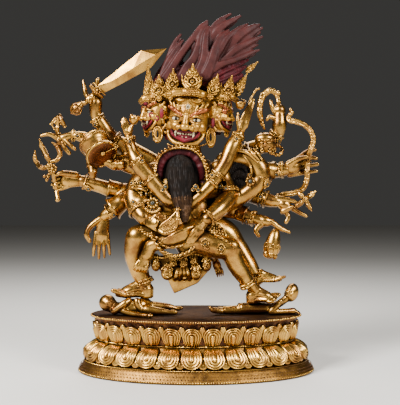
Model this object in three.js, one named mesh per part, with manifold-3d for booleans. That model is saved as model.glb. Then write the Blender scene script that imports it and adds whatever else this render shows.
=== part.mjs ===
// A gilt copper-alloy group: a many-armed wrathful guardian embraces a consort, and both tread on
// fallen figures on an oval double-lotus plinth. It faces -Y, so its right hands are on the -X side.
// Sizes are in millimetres, +Z is up, and the origin is the centre of the underside.
import * as THREE from "three";
import { mergeVertices } from "three/addons/utils/BufferGeometryUtils.js";
import Module from "manifold-3d";

const wasm = await Module();
wasm.setup();

// Driving dimensions
const plinthHeight = 34; // underside to the platform on which the figures stand
const platformHalfWidth = 63; // half the platform's long axis
const platformHalfDepth = 36.4; // half its short axis
const footReach = 7.2; // how far the foot moulding stands out past the platform's edge
const footHeight = 7.5; // the sloping foot moulding
const waistHeight = 19.5; // where the two rows of petals meet
const waistInset = 4.2; // how far the waist lies inside the platform's edge
const rimHeight = 1.5; // the beaded rim round the platform
const petals = 26; // petals in each row
const petalRelief = 1.5; // how far a petal stands out from the groove beside it
const figureHeight = 181; // platform to the tip of the flame hair
const fitGap = 0.35; // clearance between neighbouring castings

// The pose is drawn on the figure's middle plane for a figure drawnHeight high.
const drawnHeight = 181;
const scale = figureHeight / drawnHeight;
const eyeDistance = 480; // a viewer at this distance sees a point at any depth where it is drawn
const eyeAcross = 2.4;
const eyeHeight = 66;
const leftTread = 10.2; // height of the sole on the left fallen figure
const rightTread = 7.6; // height of the sole on the right one

const gold = new THREE.MeshStandardMaterial({ color: 0xc9973a, roughness: 0.3, metalness: 1 });
const redPaint = new THREE.MeshStandardMaterial({ color: 0x6e2c2a, roughness: 0.75, metalness: 0 });

// A point drawn at x across and z above the platform, moved along the sight line to its depth.
function seen([x, z, depth = 0]) {
  const spread = 1 + depth / eyeDistance;
  return placed([
    eyeAcross + (x - eyeAcross) * spread,
    depth,
    eyeHeight + (z - eyeHeight) * spread,
  ]);
}

// A point given by its true place from the middle of the platform.
function placed([x, y, z]) {
  return new THREE.Vector3(x * scale, y * scale, plinthHeight + z * scale);
}

function solid(geometry) {
  geometry.deleteAttribute("normal");
  geometry.deleteAttribute("uv");
  const merged = mergeVertices(geometry, 1e-3);
  return new wasm.Manifold(
    new wasm.Mesh({
      numProp: 3,
      vertProperties: merged.attributes.position.array,
      triVerts: new Uint32Array(merged.index.array),
    }),
  );
}

const join = (pieces) => pieces.flat(Infinity).reduce((whole, piece) => whole.add(piece));

function named(name, made, finish = gold) {
  const bodies = made.decompose().sort((a, b) => b.volume() - a.volume());
  const { vertProperties, triVerts } = bodies[0].getMesh();
  const geometry = new THREE.BufferGeometry()
    .setAttribute("position", new THREE.BufferAttribute(new Float32Array(vertProperties), 3))
    .setIndex(new THREE.BufferAttribute(new Uint32Array(triVerts), 1));
  geometry.computeVertexNormals();
  const mesh = new THREE.Mesh(geometry, finish);
  mesh.name = name;
  return mesh;
}

// The value at a share of the way along a list of values.
function between(values, share) {
  const place = share * (values.length - 1);
  const low = Math.min(Math.floor(place), values.length - 2);
  return values[low] + (values[low + 1] - values[low]) * (place - low);
}

// A limb drawn in the front view: [x, z, depth, radius] for each joint.
const limb = (joints, options) => tube(joints.map(seen), joints.map((joint) => joint[3]), options);

// A limb given by its true place: [x, y, z, radius] for each joint, z from the platform.
const lying = (joints, options) => tube(joints.map(placed), joints.map((joint) => joint[3]), options);

// A round limb along a smooth line of points, with one radius for each point. flat makes it thinner
// along the facing direction, and grow makes it larger all round, to cut a clearance.
function tube(path, radii, { sides = 5, flat = 1, facing = [0, 1, 0], grow = 0 } = {}) {
  const points = path.map((point) => point.clone());
  points[0].addScaledVector(points[0].clone().sub(points[1]).normalize(), grow);
  points.at(-1).addScaledVector(points.at(-1).clone().sub(points.at(-2)).normalize(), grow);
  const line = new THREE.CatmullRomCurve3(points, false, "centripetal");
  const geometry = new THREE.CylinderGeometry(1, 1, 1, sides, points.length - 1);
  const position = geometry.attributes.position;
  for (let i = 0; i < position.count; i++) {
    const share = 0.5 - position.getY(i);
    const tangent = line.getTangent(share);
    const front = new THREE.Vector3(...facing);
    front.addScaledVector(tangent, -front.dot(tangent)).normalize();
    const side = front.clone().cross(tangent);
    const radius = between(radii, share) * scale;
    const corner = line
      .getPoint(share)
      .addScaledVector(side, position.getX(i) * (radius + grow))
      .addScaledVector(front, position.getZ(i) * (radius * flat + grow));
    position.setXYZ(i, ...corner);
  }
  return solid(geometry);
}

// An egg-shaped mass. lean tilts it in the front view, in degrees.
function mass(centre, radii, { around = 6, down = 4, lean = 0, grow = 0 } = {}) {
  const middle = centre.isVector3 ? centre : seen(centre);
  const [rx, ry, rz] = radii.map((radius) => radius * scale + grow);
  const geometry = new THREE.SphereGeometry(1, around, down)
    .rotateX(Math.PI / 2)
    .scale(rx, ry, rz)
    .rotateY(THREE.MathUtils.degToRad(lean))
    .translate(...middle);
  return solid(geometry);
}

// A turned form about the line from one point to another: [radius, share of the way] pairs.
function turned(profile, from, to, { sides = 12, grow = 0 } = {}) {
  const axis = to.clone().sub(from);
  const length = axis.length();
  const rings = profile.map(([radius, share]) => new THREE.Vector2(radius * scale + grow, share * length));
  const low = new THREE.Vector2(0, rings[0].y - grow);
  const high = new THREE.Vector2(0, rings.at(-1).y + grow);
  rings[0].y -= grow;
  rings.at(-1).y += grow;
  const turn = new THREE.Quaternion().setFromUnitVectors(new THREE.Vector3(0, 1, 0), axis.normalize());
  const geometry = new THREE.LatheGeometry([low, ...rings, high], sides);
  return solid(geometry.applyQuaternion(turn).translate(...from));
}

// A plate cut to an outline drawn in the front view, its front face at the depth given.
function plate(outline, depth, thickness, { grow = 0 } = {}) {
  const corners = outline.map(([x, z]) => seen([x, z, depth]));
  const shape = new THREE.Shape(corners.map(({ x, z }) => new THREE.Vector2(x, z)));
  const geometry = new THREE.ExtrudeGeometry(shape, {
    depth: thickness * scale + 2 * grow,
    steps: 1,
    bevelEnabled: grow > 0,
    bevelThickness: 0.01,
    bevelSize: grow,
    bevelSegments: 1,
  });
  geometry.rotateX(Math.PI / 2).translate(0, (depth + thickness) * scale + grow, 0);
  return solid(geometry);
}

// Angles that step evenly along the platform's oval edge, with a petal centred at the front.
function evenAngles(count) {
  const fine = 3600;
  const lengths = [0];
  for (let i = 1; i <= fine; i++) {
    const angle = ((i - 0.5) / fine) * 2 * Math.PI;
    lengths.push(
      lengths[i - 1] +
        Math.hypot(platformHalfWidth * Math.sin(angle), platformHalfDepth * Math.cos(angle)),
    );
  }
  const around = lengths.at(-1);
  const start = around * (0.75 + 0.5 / petals);
  return Array.from({ length: count }, (_, step) => {
    const target = (start + (step / count) * around) % around;
    return (lengths.findIndex((length) => length >= target) / fine) * 2 * Math.PI;
  });
}

// Two rows of petals back to back round an oval, between a foot moulding and a platform.
function lotusPlinth() {
  const facesOnPetal = 2;
  const columns = petals * facesOnPetal;
  const rimLine = plinthHeight - rimHeight;
  const lower = waistHeight - footHeight;
  const upper = rimLine - waistHeight;
  // [how far out from the platform's edge, height, share of the petal relief]
  const profile = [
    [footReach, 0, 0],
    [footReach - 3.8, footHeight, 0],
    [footReach - 1.8, footHeight + lower * 0.13, 0.8],
    [footReach - 2, footHeight + lower * 0.42, 1],
    [footReach - 5.7, footHeight + lower * 0.85, 0.35],
    [-waistInset, waistHeight, 0],
    [-waistInset / 2, waistHeight + upper * 0.25, 0.6],
    [-0.9, waistHeight + upper * 0.7, 1],
    [0, rimLine, 0],
    [0, plinthHeight, 0],
  ];
  const angles = evenAngles(columns);
  const rows = profile.length + 2;
  const section = [
    new THREE.Vector2(0, 0),
    ...profile.map(([out, z]) => new THREE.Vector2(platformHalfWidth + out, z)),
    new THREE.Vector2(0, plinthHeight),
  ];
  const geometry = new THREE.LatheGeometry(section, columns);
  const position = geometry.attributes.position;
  for (let column = 0; column <= columns; column++) {
    const angle = angles[column % columns];
    const groove = column % facesOnPetal === 0 ? petalRelief : 0;
    profile.forEach(([out, z, carved], row) => {
      const reach = out - groove * carved;
      const x = (platformHalfWidth + reach) * Math.cos(angle);
      const y = (platformHalfDepth + reach) * Math.sin(angle);
      position.setXYZ(column * rows + row + 1, x, y, z);
    });
    position.setXYZ(column * rows, 0, 0, 0);
    position.setXYZ(column * rows + rows - 1, 0, 0, plinthHeight);
  }
  return solid(geometry);
}

// A foot from heel to toe with the toes in two groups.
function foot(heel, toe, ankle, width, { toeLift = 0, grow = 0 } = {}) {
  const along = toe.clone().sub(heel);
  const across = new THREE.Vector3(0, 0, 1).cross(along).normalize();
  const at = (share, rise, aside = 0) =>
    heel
      .clone()
      .addScaledVector(along, share)
      .addScaledVector(across, aside * scale)
      .add(new THREE.Vector3(0, 0, rise * scale));
  const sole = 0.42 * width;
  const body = tube(
    [at(0.06, sole * 1.1), at(0.3, sole * 1.15), at(0.6, sole), at(0.82, sole * 0.85)],
    [width * 0.42, width * 0.47, width * 0.5, width * 0.48],
    { sides: 6, flat: 0.8, facing: [0, 0, 1], grow },
  );
  const shank = tube([ankle, at(0.14, sole * 1.2)], [width * 0.44, width * 0.46], { grow });
  const toes = [-0.24, 0.24].map((place) =>
    tube(
      [at(0.74, sole * 0.8, place * width), at(1, sole * 0.6 + toeLift, place * width * 1.04)],
      [width * 0.22, width * 0.2],
      { sides: 4, flat: 0.7, facing: [0, 0, 1], grow },
    ),
  );
  return [shank, body, toes];
}

// An open hand: a flat palm, fingers fanned from it and a thumb. Fingers held together are one form.
function openHand({ wrist, knuckles, tips, thumb, size, fingers = 2, spread = 1.5 }, grow) {
  const [from, middle, to] = [wrist, knuckles, tips].map(seen);
  const along = to.clone().sub(middle);
  const across = along.clone().cross(new THREE.Vector3(0, 1, 0)).normalize();
  const palm = tube([from, middle], [size * 0.72, size], { sides: 6, flat: 0.55, grow });
  const digits = Array.from({ length: fingers }, (_, i) => {
    const place = (2 * i + 1) / fingers - 1;
    const root = middle.clone().addScaledVector(across, place * size * scale);
    const tip = to.clone().addScaledVector(across, place * size * spread * scale);
    tip.addScaledVector(along, Math.abs(place - 0.1) * -0.18);
    const radii = [(size * 0.96) / fingers, (size * 0.72) / fingers];
    return tube([root.addScaledVector(along, -0.08), tip], radii, { sides: 4, grow });
  });
  return [palm, digits, tube(thumb.map(seen), [size * 0.4, size * 0.24], { sides: 4, grow })];
}

// A ring of metal round a limb, such as a bracelet or an anklet.
function band(centre, towards, radius, width, { grow = 0 } = {}) {
  const middle = seen(centre);
  const along = seen(towards).sub(middle).normalize().multiplyScalar((width * scale) / 2);
  const profile = [
    [radius, 0],
    [radius, 1],
  ];
  return turned(profile, middle.clone().sub(along), middle.clone().add(along), { sides: 7, grow });
}

// The guardian: torso, legs, three faces with crowns and the fan of arms, cast as one.
function guardian(grow) {
  const from = { grow };
  return [guardianBody(from), guardianLegs(from), guardianHeads(from), guardianArms(from)];
}

function guardianBody(from) {
  return [
    limb(
      [
        [-1, 42, 7, 12], [-1, 53, 7, 13.5], [-3, 68, 8, 12.5], [-4, 84, 7, 17], [-5, 95, 5, 8.6],
        [-5, 106, 4, 7.4],
      ],
      { ...from, sides: 9, flat: 0.68 },
    ),
    mass([-23, 81, 5], [9, 8, 9.5], from),
    mass([14, 81, 5], [9, 8, 9.5], from),
  ];
}

function guardianLegs({ grow }) {
  const from = { sides: 6, grow };
  const rightHeel = [-25.6, -7, leftTread];
  const rightToe = [-48, -9, leftTread];
  const leftHeel = [32.5, -0.5, rightTread + 9.4];
  const leftToe = [53.5, -3, rightTread + 11];
  return [
    limb([[-5, 50, 5, 10.5], [-22, 48, -2, 9], [-35, 44, -7, 6.6]], from),
    limb([[-35.6, 45, -7, 6.8], [-35.6, 33, -6, 6.2], [-31.5, 20, -6, 4.9]], from),
    foot(placed(rightHeel), placed(rightToe), seen([-31.2, 21, -6]), 10.5, { toeLift: 3.6, grow }),
    band([-31, 18.6, -6], [-30.4, 15, -6], 6.1, 2.4, from),
    limb([[6, 50, 7, 10.5], [18, 46, 7, 8.4], [25.5, 36, 5, 6.4], [36, 20, 1, 4.6]], from),
    foot(placed(leftHeel), placed(leftToe), seen([35, 22.5, 1]), 9, { toeLift: 1.6, grow }),
  ];
}

// Nose, eyes and the bulge of the open mouth on the middle face.
function features([x, z, depth], from) {
  return [
    mass([x, z - 4.4, depth], [3.2, 2.6, 2.8], from),
    mass([x - 6, z, depth + 1], [3, 2, 2], from),
    mass([x + 6, z, depth + 1], [3, 2, 2], from),
    mass([x - 1, z - 9.6, depth + 1], [8, 3, 3], from),
  ];
}

// A run of crown leaves cut from one plate, from [tip x, tip z, foot x, foot z, half width] each.
function leaves(run, depth, from) {
  const rising = run.flatMap(([tx, tz, fx, fz, halfWidth]) => {
    const along = (share, side) => [fx + (tx - fx) * share + side * halfWidth, fz + (tz - fz) * share];
    return [along(0.1, -0.9), along(0.5, -0.95), along(1, 0), along(0.5, 0.95), along(0.1, 0.9)];
  });
  const below = 4;
  const foot = [run.at(-1), run[0]].map(([, , x, z]) => [x, z - below]);
  return plate([...rising, ...foot].reverse(), depth, 2.4, from);
}

function guardianHeads(from) {
  const frontCrown = [
    [-13.8, 146, -13.6, 134, 4.4],
    [-1.8, 148.8, -3, 134, 5.4],
    [13.4, 142.5, 8.6, 133, 5],
  ];
  const rightCrown = [
    [-28.6, 148.5, -28, 132, 3.4],
    [-22.3, 142.5, -20.4, 130, 3.4],
  ];
  const leftCrown = [
    [21.5, 142, 17.6, 130, 4],
    [30.8, 143.2, 25.6, 130, 4],
  ];
  const crownBand = [[-30, 130.5, 4, 3.4], [-17, 132.4, -6, 3.4], [8, 133, -6, 3.4], [23, 130, 4, 3.4]];
  return [
    mass([-5.2, 115.5, 1], [12.4, 11, 15], { ...from, around: 9, down: 6 }),
    features([-5.2, 115.5, -9.6], from),
    mass([-25, 118, 5], [8.4, 8, 9.6], from),
    mass([-31, 115.5, 3], [3, 2.6, 4], from),
    mass([15.5, 117.6, 5], [6.6, 8, 8.6], from),
    mass([21, 114, 3], [2.4, 2.6, 3.8], from),
    limb(crownBand, { ...from, sides: 4, flat: 1.4 }),
    mass([-4.5, 122, 6], [27, 10.4, 15], { ...from, around: 8, down: 6 }),
    limb([[-21, 113, 1, 2.6], [-22.6, 103, 0, 3.4]], { ...from, sides: 4 }),
    limb([[8, 112, 1, 2.4], [8.6, 102, 0, 3.4]], { ...from, sides: 4 }),
    leaves(frontCrown, -10, from),
    leaves(rightCrown, -3, from),
    leaves(leftCrown, -2, from),
  ];
}

// Each far arm ends in a closed hand, the thick joint before its last.
const farArms = {
  sword: [
    [-24, 89, 9, 5], [-48.6, 102.5, 8, 5], [-58.5, 117, 5, 3.6],
    [-61.4, 124.6, 3, 5], [-61.6, 130.6, 3, 3],
  ],
  axe: [
    [-22, 85, 15, 5], [-50, 98, 14, 4.8], [-70, 104, 9, 3.4],
    [-80, 102.6, 7.4, 5], [-84.6, 101.4, 7.4, 3.4],
  ],
  trident: [
    [-20, 75, 13, 5], [-45, 72.6, 11, 4.8], [-66, 79.4, 7, 3.8],
    [-80, 79.5, 3, 5], [-90, 80, 1.4, 3.6],
  ],
  drum: [[-28, 84, 4, 5.2], [-42, 90, 3, 5.2], [-49, 91, 3, 3.8], [-56, 94, 3, 4.4]],
  open: [[-16, 72, 6, 5], [-42, 67.5, 5, 4.8], [-54, 58.6, 5, 4]],
  hook: [[14, 88, 11, 5], [34, 98, 11, 5], [48, 106, 9, 3.6], [50, 116, 7.6, 5], [50, 122.6, 7.6, 3.4]],
  bow: [[14, 79, 13, 4.8], [34, 85, 10, 4.8], [54, 87, 5, 3.6], [64, 91, 4, 5.4], [71.6, 92.4, 4, 4]],
  vajra: [[12, 71, 9, 4.6], [39, 68.4, 6, 4.4], [48, 66.6, 4, 3.4], [55, 65, 3.4, 4.8], [61, 63, 3, 3.4]],
  bell: [[10, 62, 8, 4.6], [31, 57.6, 4, 4.2], [37, 55.6, 2, 3.4], [45, 53, 1.6, 4.4], [51, 51.4, 1.6, 3]],
};

// The arm on the left that bends back from its elbow to the chest.
const bentArm = [
  [16, 89, 3, 4.6], [33, 94, 2, 4.8], [40.4, 86, 1, 4.4],
  [36, 76, 1, 4.4], [24, 68, 2, 4.6], [12, 62, 4, 4.6],
];

const longFingers = {
  sword: [[-64, 126, 5, 1.6], [-67.2, 139, 5, 1]],
  axe: [[-82, 104, 5, 1.7], [-92, 105.6, 3.5, 1]],
  bell: [[42, 52.4, 1, 1.6], [35, 45.6, 0, 1.1]],
};

// The two main arms pass round the consort's back.
const mainArms = [
  {
    arm: [[-25, 84, 3, 6.6], [-38, 72.5, -2, 5.6], [-36, 64, -6, 6.2], [-31, 56.5, -12, 4.2]],
    bracelet: [[-33.6, 58, -10], [-31, 55, -13], 5.6],
    hand: {
      wrist: [-33, 57, -11],
      knuckles: [-25.5, 53.6, -17.5],
      tips: [-20, 56.5, -19],
      thumb: [[-28, 55, -16], [-22, 50, -19]],
      size: 3.6,
      spread: 1.1,
    },
  },
  {
    arm: [[17, 84, 3, 6.4], [22, 72, 0, 5.4], [21, 66.6, -6, 5.6], [7, 56.4, -18, 4]],
    bracelet: [[7.6, 57, -17.4], [5.8, 55.4, -19.4], 5],
    hand: {
      wrist: [9, 58, -17],
      knuckles: [2.4, 51.4, -20.6],
      tips: [-5.6, 41.6, -20.4],
      thumb: [[5, 53, -20], [1.4, 45, -22.4]],
      size: 3.6,
      spread: 1.1,
    },
  },
];

const loweredHand = {
  wrist: [-55, 57.4, 5],
  knuckles: [-57, 47.6, 4.4],
  tips: [-56.8, 33.6, 4.4],
  thumb: [[-56, 55, 4], [-65, 46, 3]],
  size: 4.6,
  fingers: 4,
};

function guardianArms({ grow }) {
  return [
    mainArms.map(({ arm, bracelet, hand }) => [
      limb(arm, { sides: 6, grow }),
      band(...bracelet, 4.2, { grow }),
      openHand(hand, grow),
    ]),
    Object.values(farArms).map((joints) => limb(joints, { grow })),
    limb(bentArm, { grow }),
    Object.values(longFingers).map((joints) => limb(joints, { sides: 4, grow })),
    openHand(loweredHand, grow),
  ];
}

// The consort has her back to the viewer: hair, crown, raised arms and legs.
const raisedArms = [
  {
    arm: [
      [-10, 72, -9, 5], [-18.6, 68.6, -9, 4.4], [-26.5, 79, -8, 4.2], [-35, 90.5, -7, 4.4],
      [-38.4, 97, -6, 3.2], [-40.2, 106, -5, 2.6],
    ],
    hand: {
      wrist: [-40.4, 104.6, -5],
      knuckles: [-40.6, 108.6, -5],
      tips: [-43.6, 116.4, -5],
      thumb: [[-40, 108, -6], [-37.4, 115, -6]],
      size: 2.8,
      spread: 0.5,
    },
  },
  {
    arm: [
      [-2, 68, -9, 4], [4, 69, -9, 3.6], [10, 76, -8, 3.8], [17.6, 89.4, -6, 4.2],
      [21.6, 99, -4, 4.2], [26.6, 108.4, -3, 3],
    ],
    hand: {
      wrist: [26, 107.6, -3],
      knuckles: [28.6, 113.6, -3],
      tips: [33.6, 127.6, -3],
      thumb: [[26, 110, -4], [25.2, 119, -4]],
      size: 3,
      spread: 0.5,
    },
  },
];

function consort(grow) {
  const trunk = [[-3, 42, -11, 10.5], [-5, 56, -11, 8], [-5, 70, -9, 9], [-4, 82, -8, 7]];
  const hair = [[-9.6, 86, -10, 6], [-9.4, 70, -14.6, 6], [-8, 55, -15, 1.6]];
  const crownArch = [
    [-25, 80, -8, 1.8], [-21.6, 92, -8, 3], [-12, 98.4, -8, 3.2],
    [-2, 97, -8, 3.2], [5, 89, -8, 3], [7, 79, -8, 1.8],
  ];
  const leftThigh = [[-2, 44, -11, 8.4], [8, 39.6, -15, 7.2], [19.6, 37, -17, 6]];
  const leftShin = [[19.4, 38, -17, 6], [23, 28.6, -15, 5.4], [31, 17, -12, 4.3]];
  const rightLeg = [[-3, 50, -13, 6.6], [-12, 47, -17, 4.8], [-20.6, 43, -17, 4.4], [-27, 39, -15, 3.6]];
  const rightFoot = [[-27.4, 40, -14.6, 3.2], [-30, 32.6, -14.4, 3.6], [-33.6, 25, -14.4, 3.8]];
  const heel = placed([29.6, -10.5, rightTread]);
  const toe = placed([50.4, -13, rightTread]);
  return [
    limb(trunk, { sides: 9, flat: 0.8, grow }),
    mass([-9.6, 85.6, -9], [7, 6.4, 9], { around: 8, down: 6, grow }),
    limb(hair, { flat: 0.7, grow }),
    limb(crownArch, { sides: 4, grow }),
    raisedArms.map(({ arm, hand }) => [limb(arm, { grow }), openHand(hand, grow)]),
    limb(leftThigh, { grow }),
    limb(leftShin, { grow }),
    foot(heel, toe, seen([31.4, 17, -12]), 9.6, { grow }),
    band([31.4, 15.6, -12], [32.8, 13, -12], 5.2, 2.4, { grow }),
    limb(rightLeg, { grow }),
    limb(rightFoot, { flat: 0.6, grow }),
    mass([-17, 54, -16], [7, 4, 6.4], { lean: 30, grow }),
  ];
}

// The fallen figures lie along the platform, [x, y, z, radius] for each joint.
function fallenLeft() {
  const limbs = {
    trunk: [[-51, -9.6, 4.4, 3], [-36, -10, 3.6, 3.4], [-26, -10, 3.4, 3.4]],
    nearArm: [[-47.6, -13, 2.4, 2.3], [-42, -13.6, 7, 2.2], [-39, -12, 8.4, 2]],
    forearm: [[-34, -12, 8.2, 2.2], [-31, -12.6, 2.4, 2.2]],
    hip: [[-29.6, -7, 5.4, 4.2], [-29.6, -10, 2.4, 3.6]],
    nearLeg: [[-29, -13, 3, 3], [-22, -14, 2.6, 2.2], [-13, -14, 2, 1.6]],
    farLeg: [[-28, -7, 4.8, 3], [-18, -6, 4.4, 2], [-9, -5, 2, 1.3]],
  };
  return [
    Object.values(limbs).map((joints) => lying(joints)),
    mass(placed([-53.4, -9, 5.4]), [4.6, 4, 4.9]),
    mass(placed([-49.6, -10, 5.6]), [1.5, 1.5, 1.5]),
  ];
}

function fallenRight() {
  const limbs = {
    trunk: [[27, -8, 3.4, 3.2], [36, -8, 3.6, 3.6], [45, -8, 3.6, 3.2]],
    neck: [[44, -7.4, 3.6, 2.6], [50, -5.4, 6.4, 2.4], [56, -4.2, 11, 2.4]],
    leg: [[29, -8, 3, 3], [22, -9, 2.6, 2.4], [12, -9, 2.6, 2.2]],
    foot: [[14, -12, 2.3, 2], [8.4, -12, 3.4, 2.2]],
    raisedArm: [[44, -12, 2.4, 1.9], [49.6, -11, 8, 1.7]],
    lowArm: [[44, -12, 1.9, 1.8], [53, -10, 1.9, 1.8], [59, -8, 2, 2.4]],
  };
  return [
    Object.values(limbs).map((joints) => lying(joints)),
    mass(placed([56.4, -4, 12]), [3.8, 3.4, 5.4], { lean: 14 }),
  ];
}

// The garland of heads and the pleated apron that hang between the legs.
function headGarland() {
  const heads = [
    [-24, 29.4, -12, 3.2, 4.4],
    [-17.2, 24.2, -12.6, 3.8, 4.2],
    [-12.6, 30, -13, 3, 3],
    [-6.4, 29.6, -14, 3, 3.2],
    [-0.6, 31, -14, 2.6, 3],
    [6.6, 28.4, -13, 2.9, 4.2],
    [0, 23.6, -13.6, 3.4, 4.4],
  ];
  const apron = [
    [-26, 29],
    [-17, 19.4],
    [-13, 11.6],
    [1, 17.6],
    [8.6, 26],
    [6, 33],
    [-10, 35],
    [-24, 34],
  ];
  return [
    heads.map(([x, z, depth, halfWidth, halfHeight]) => mass([x, z, depth], [halfWidth, 3, halfHeight])),
    plate(apron, -12, 5),
    limb([[-11, 28, -13, 3.6], [-8, 21, -13, 2.6]]),
  ];
}

// Flames of hair: a broad root on the heads that breaks into licks leaning to the wearer's left.
function flameHair() {
  const licks = [
    [[-16, 150, 4], [-15, 158, 5], [-9, 167, 5], 5.6, 1],
    [[-8, 150, 4], [-6, 160, 4], [-1, 167, 4], 6, 1],
    [[0, 150, 3], [0, 165, 3], [7, 175.6, 4], 7, 1.2],
    [[6, 150, 4], [8, 168, 3], [20.4, 179.8, 3], 8, 1],
    [[12, 148, 5], [22, 164, 5], [30.8, 173, 5], 7, 0.9],
    [[14, 148, 6], [28, 163, 6], [39.6, 172.4, 6], 7, 0.9],
    [[14, 146, 6], [28, 158, 6], [40, 166, 6], 6.6, 0.9],
    [[12, 144, 7], [24, 147, 7], [36.6, 150, 7], 5, 0.8],
  ];
  return [
    limb([[-20, 139, 7, 5], [-7, 143, 7, 10], [8, 143, 7, 10], [23, 139, 7, 6]], { sides: 7 }),
    licks.map(([root, middle, tip, wide, thin]) => {
      const joints = [
        [...root, wide],
        [...middle, wide * 0.72],
        [...tip, thin],
      ];
      return limb(joints, { sides: 4, flat: 0.75 });
    }),
  ];
}

// What the hands hold, in front of or through the fists.
function sword(grow) {
  const blade = [
    [-57.6, 132.6],
    [-33, 157.3],
    [-17.4, 158.4],
    [-30.6, 148.6],
    [-55, 129.6],
  ];
  return [
    plate(blade, 0, 1.6, { grow }),
    limb([[-73, 121.4, 0.8, 1.8], [-57, 132, 0.8, 1.6]], { sides: 6, grow }),
    mass([-71.6, 122.8, 0.8], [3.2, 2.8, 3.2], { grow }),
    mass([-59.4, 133.3, 0.8], [3.6, 2, 3.6], { grow }),
  ];
}

function axe(grow) {
  const head = [
    [-87, 113.4],
    [-81.4, 118.4],
    [-78.4, 111.4],
    [-82, 112.6],
  ];
  const shaft = [[-82.6, 114, 7.4, 1.2], [-81.6, 95, 7.4, 1.2]];
  return [plate(head, 6.6, 1.6, { grow }), limb(shaft, { grow })];
}

function trident(grow) {
  return [
    limb(
      [
        [-96.6, 97.3, 1, 0.6], [-92.4, 89, 1, 1.6], [-86.6, 86, 1, 1.8], [-81.8, 92, 1, 1.7],
        [-84, 99.4, 1, 1.3], [-86.4, 102.3, 1, 0.6],
      ],
      { sides: 4, grow },
    ),
    limb([[-93.8, 104.2, 1, 0.6], [-88, 92, 1, 1.6], [-86.4, 86.6, 1, 1.6], [-83, 68, 1, 1.2]], { grow }),
  ];
}

// An hourglass drum with a skin at each end.
function drum(grow) {
  const ends = [
    [9.2, 0],
    [9.6, 0.08],
    [4, 0.48],
    [4, 0.54],
    [9.6, 0.94],
    [9.2, 1],
  ];
  return [turned(ends, seen([-50.6, 99.4, -5]), seen([-64.6, 90.8, 10]), { sides: 10, grow })];
}

function severedHead(grow) {
  return [
    mass([41.6, 101.6, 1], [6.2, 5.6, 6.6], { around: 7, down: 5, grow }),
    limb([[38, 98, -1, 1.9], [42, 95.4, -2, 1.9], [51, 95, -1, 1.9], [51.4, 99, 0, 1.9]], { grow }),
  ];
}

function hook(grow) {
  return [
    limb(
      [
        [50, 108, 8, 1.3], [50, 119, 8, 1.3], [49.6, 126, 7, 1.7], [45, 130.6, 6.6, 1.8],
        [39.6, 127, 6.6, 1.8], [38, 121, 6.6, 1.8], [41.4, 109.6, 6, 1.1],
      ],
      { sides: 4, grow },
    ),
  ];
}

function bow(grow) {
  return [
    limb(
      [
        [56.6, 118.6, 3, 1.9], [57, 116, 3, 1.5], [66, 113, 3, 1.6], [70.4, 105, 3, 1.7],
        [67.6, 92, 3, 1.8], [66.4, 80, 4, 1.7], [60.6, 72, 6, 1.6], [50, 69.6, 7, 1.5],
        [48, 66.4, 7, 1.9],
      ],
      { grow },
    ),
  ];
}

function vajra(grow) {
  return [
    limb([[72, 72.6, -1, 0.8], [65.2, 67.6, -1, 2], [58, 62, -1, 0.8]], { grow }),
    limb([[69.4, 61, -1, 0.8], [65.2, 67.6, -1, 2], [60, 73.6, -1, 0.8]], { grow }),
  ];
}

function bell(grow) {
  const profile = [
    [2.4, 0],
    [4.6, 0.3],
    [5.1, 0.48],
    [3.4, 0.72],
    [2.2, 0.86],
    [2.5, 1],
  ];
  return [turned(profile, seen([43.8, 31.5, 1]), seen([48, 50.4, 1]), { sides: 9, grow })];
}

const attributes = { sword, axe, trident, drum, severed_head: severedHead, hook, bow, vajra, bell };

function figureGroup() {
  const group = new THREE.Group();
  const held = Object.values(attributes).map((make) => join(make(fitGap)));
  const consortRoom = join(consort(fitGap));
  const body = join([guardian(0)]).subtract(consortRoom).subtract(join(held));
  const partner = join([consort(0)]);
  const figures = join([guardian(fitGap)]).add(consortRoom);
  const garland = join([headGarland()]).subtract(figures);
  const hair = join([flameHair()]).subtract(figures);
  const platform = new THREE.BoxGeometry(400, 400, 60).translate(0, 0, plinthHeight + fitGap - 30);
  const plinthRoom = solid(platform);
  group.add(named("lotus_plinth", lotusPlinth()));
  group.add(named("fallen_figure_left", join([fallenLeft(0)]).subtract(plinthRoom).subtract(figures)));
  group.add(named("fallen_figure_right", join([fallenRight(0)]).subtract(plinthRoom).subtract(figures)));
  group.add(named("guardian_figure", body));
  group.add(named("consort_figure", partner));
  group.add(named("head_garland", garland));
  group.add(named("flame_hair", hair, redPaint));
  for (const [name, make] of Object.entries(attributes)) group.add(named(name, join([make(0)])));
  return group;
}

export default figureGroup();
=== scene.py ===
import math

import bmesh
import bpy
from mathutils import Matrix, Vector


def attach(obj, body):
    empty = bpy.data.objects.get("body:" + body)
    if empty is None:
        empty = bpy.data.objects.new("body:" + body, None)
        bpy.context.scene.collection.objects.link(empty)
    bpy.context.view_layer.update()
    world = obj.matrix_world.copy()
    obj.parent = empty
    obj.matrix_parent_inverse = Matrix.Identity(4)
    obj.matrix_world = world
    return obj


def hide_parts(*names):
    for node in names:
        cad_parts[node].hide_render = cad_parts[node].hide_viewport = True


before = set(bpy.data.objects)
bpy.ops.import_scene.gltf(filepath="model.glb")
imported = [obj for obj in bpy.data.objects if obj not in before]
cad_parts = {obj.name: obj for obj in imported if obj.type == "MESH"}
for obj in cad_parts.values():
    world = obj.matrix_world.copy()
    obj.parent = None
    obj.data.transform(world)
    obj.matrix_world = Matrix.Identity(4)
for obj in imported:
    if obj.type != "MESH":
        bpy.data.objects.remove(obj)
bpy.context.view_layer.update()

mm = 0.001
platformHeight = 34
# the viewer in mm: how far off, how far aside, height above the platform, height of the whole view
eye = {"distance": 480, "across": 2.4, "height": 66, "view": 405 * 0.6}
forward = Vector((0, -1, 0))
upward = Vector((0, 0, 1))
rightward = Vector((1, 0, 0))

# Places and lines


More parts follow.
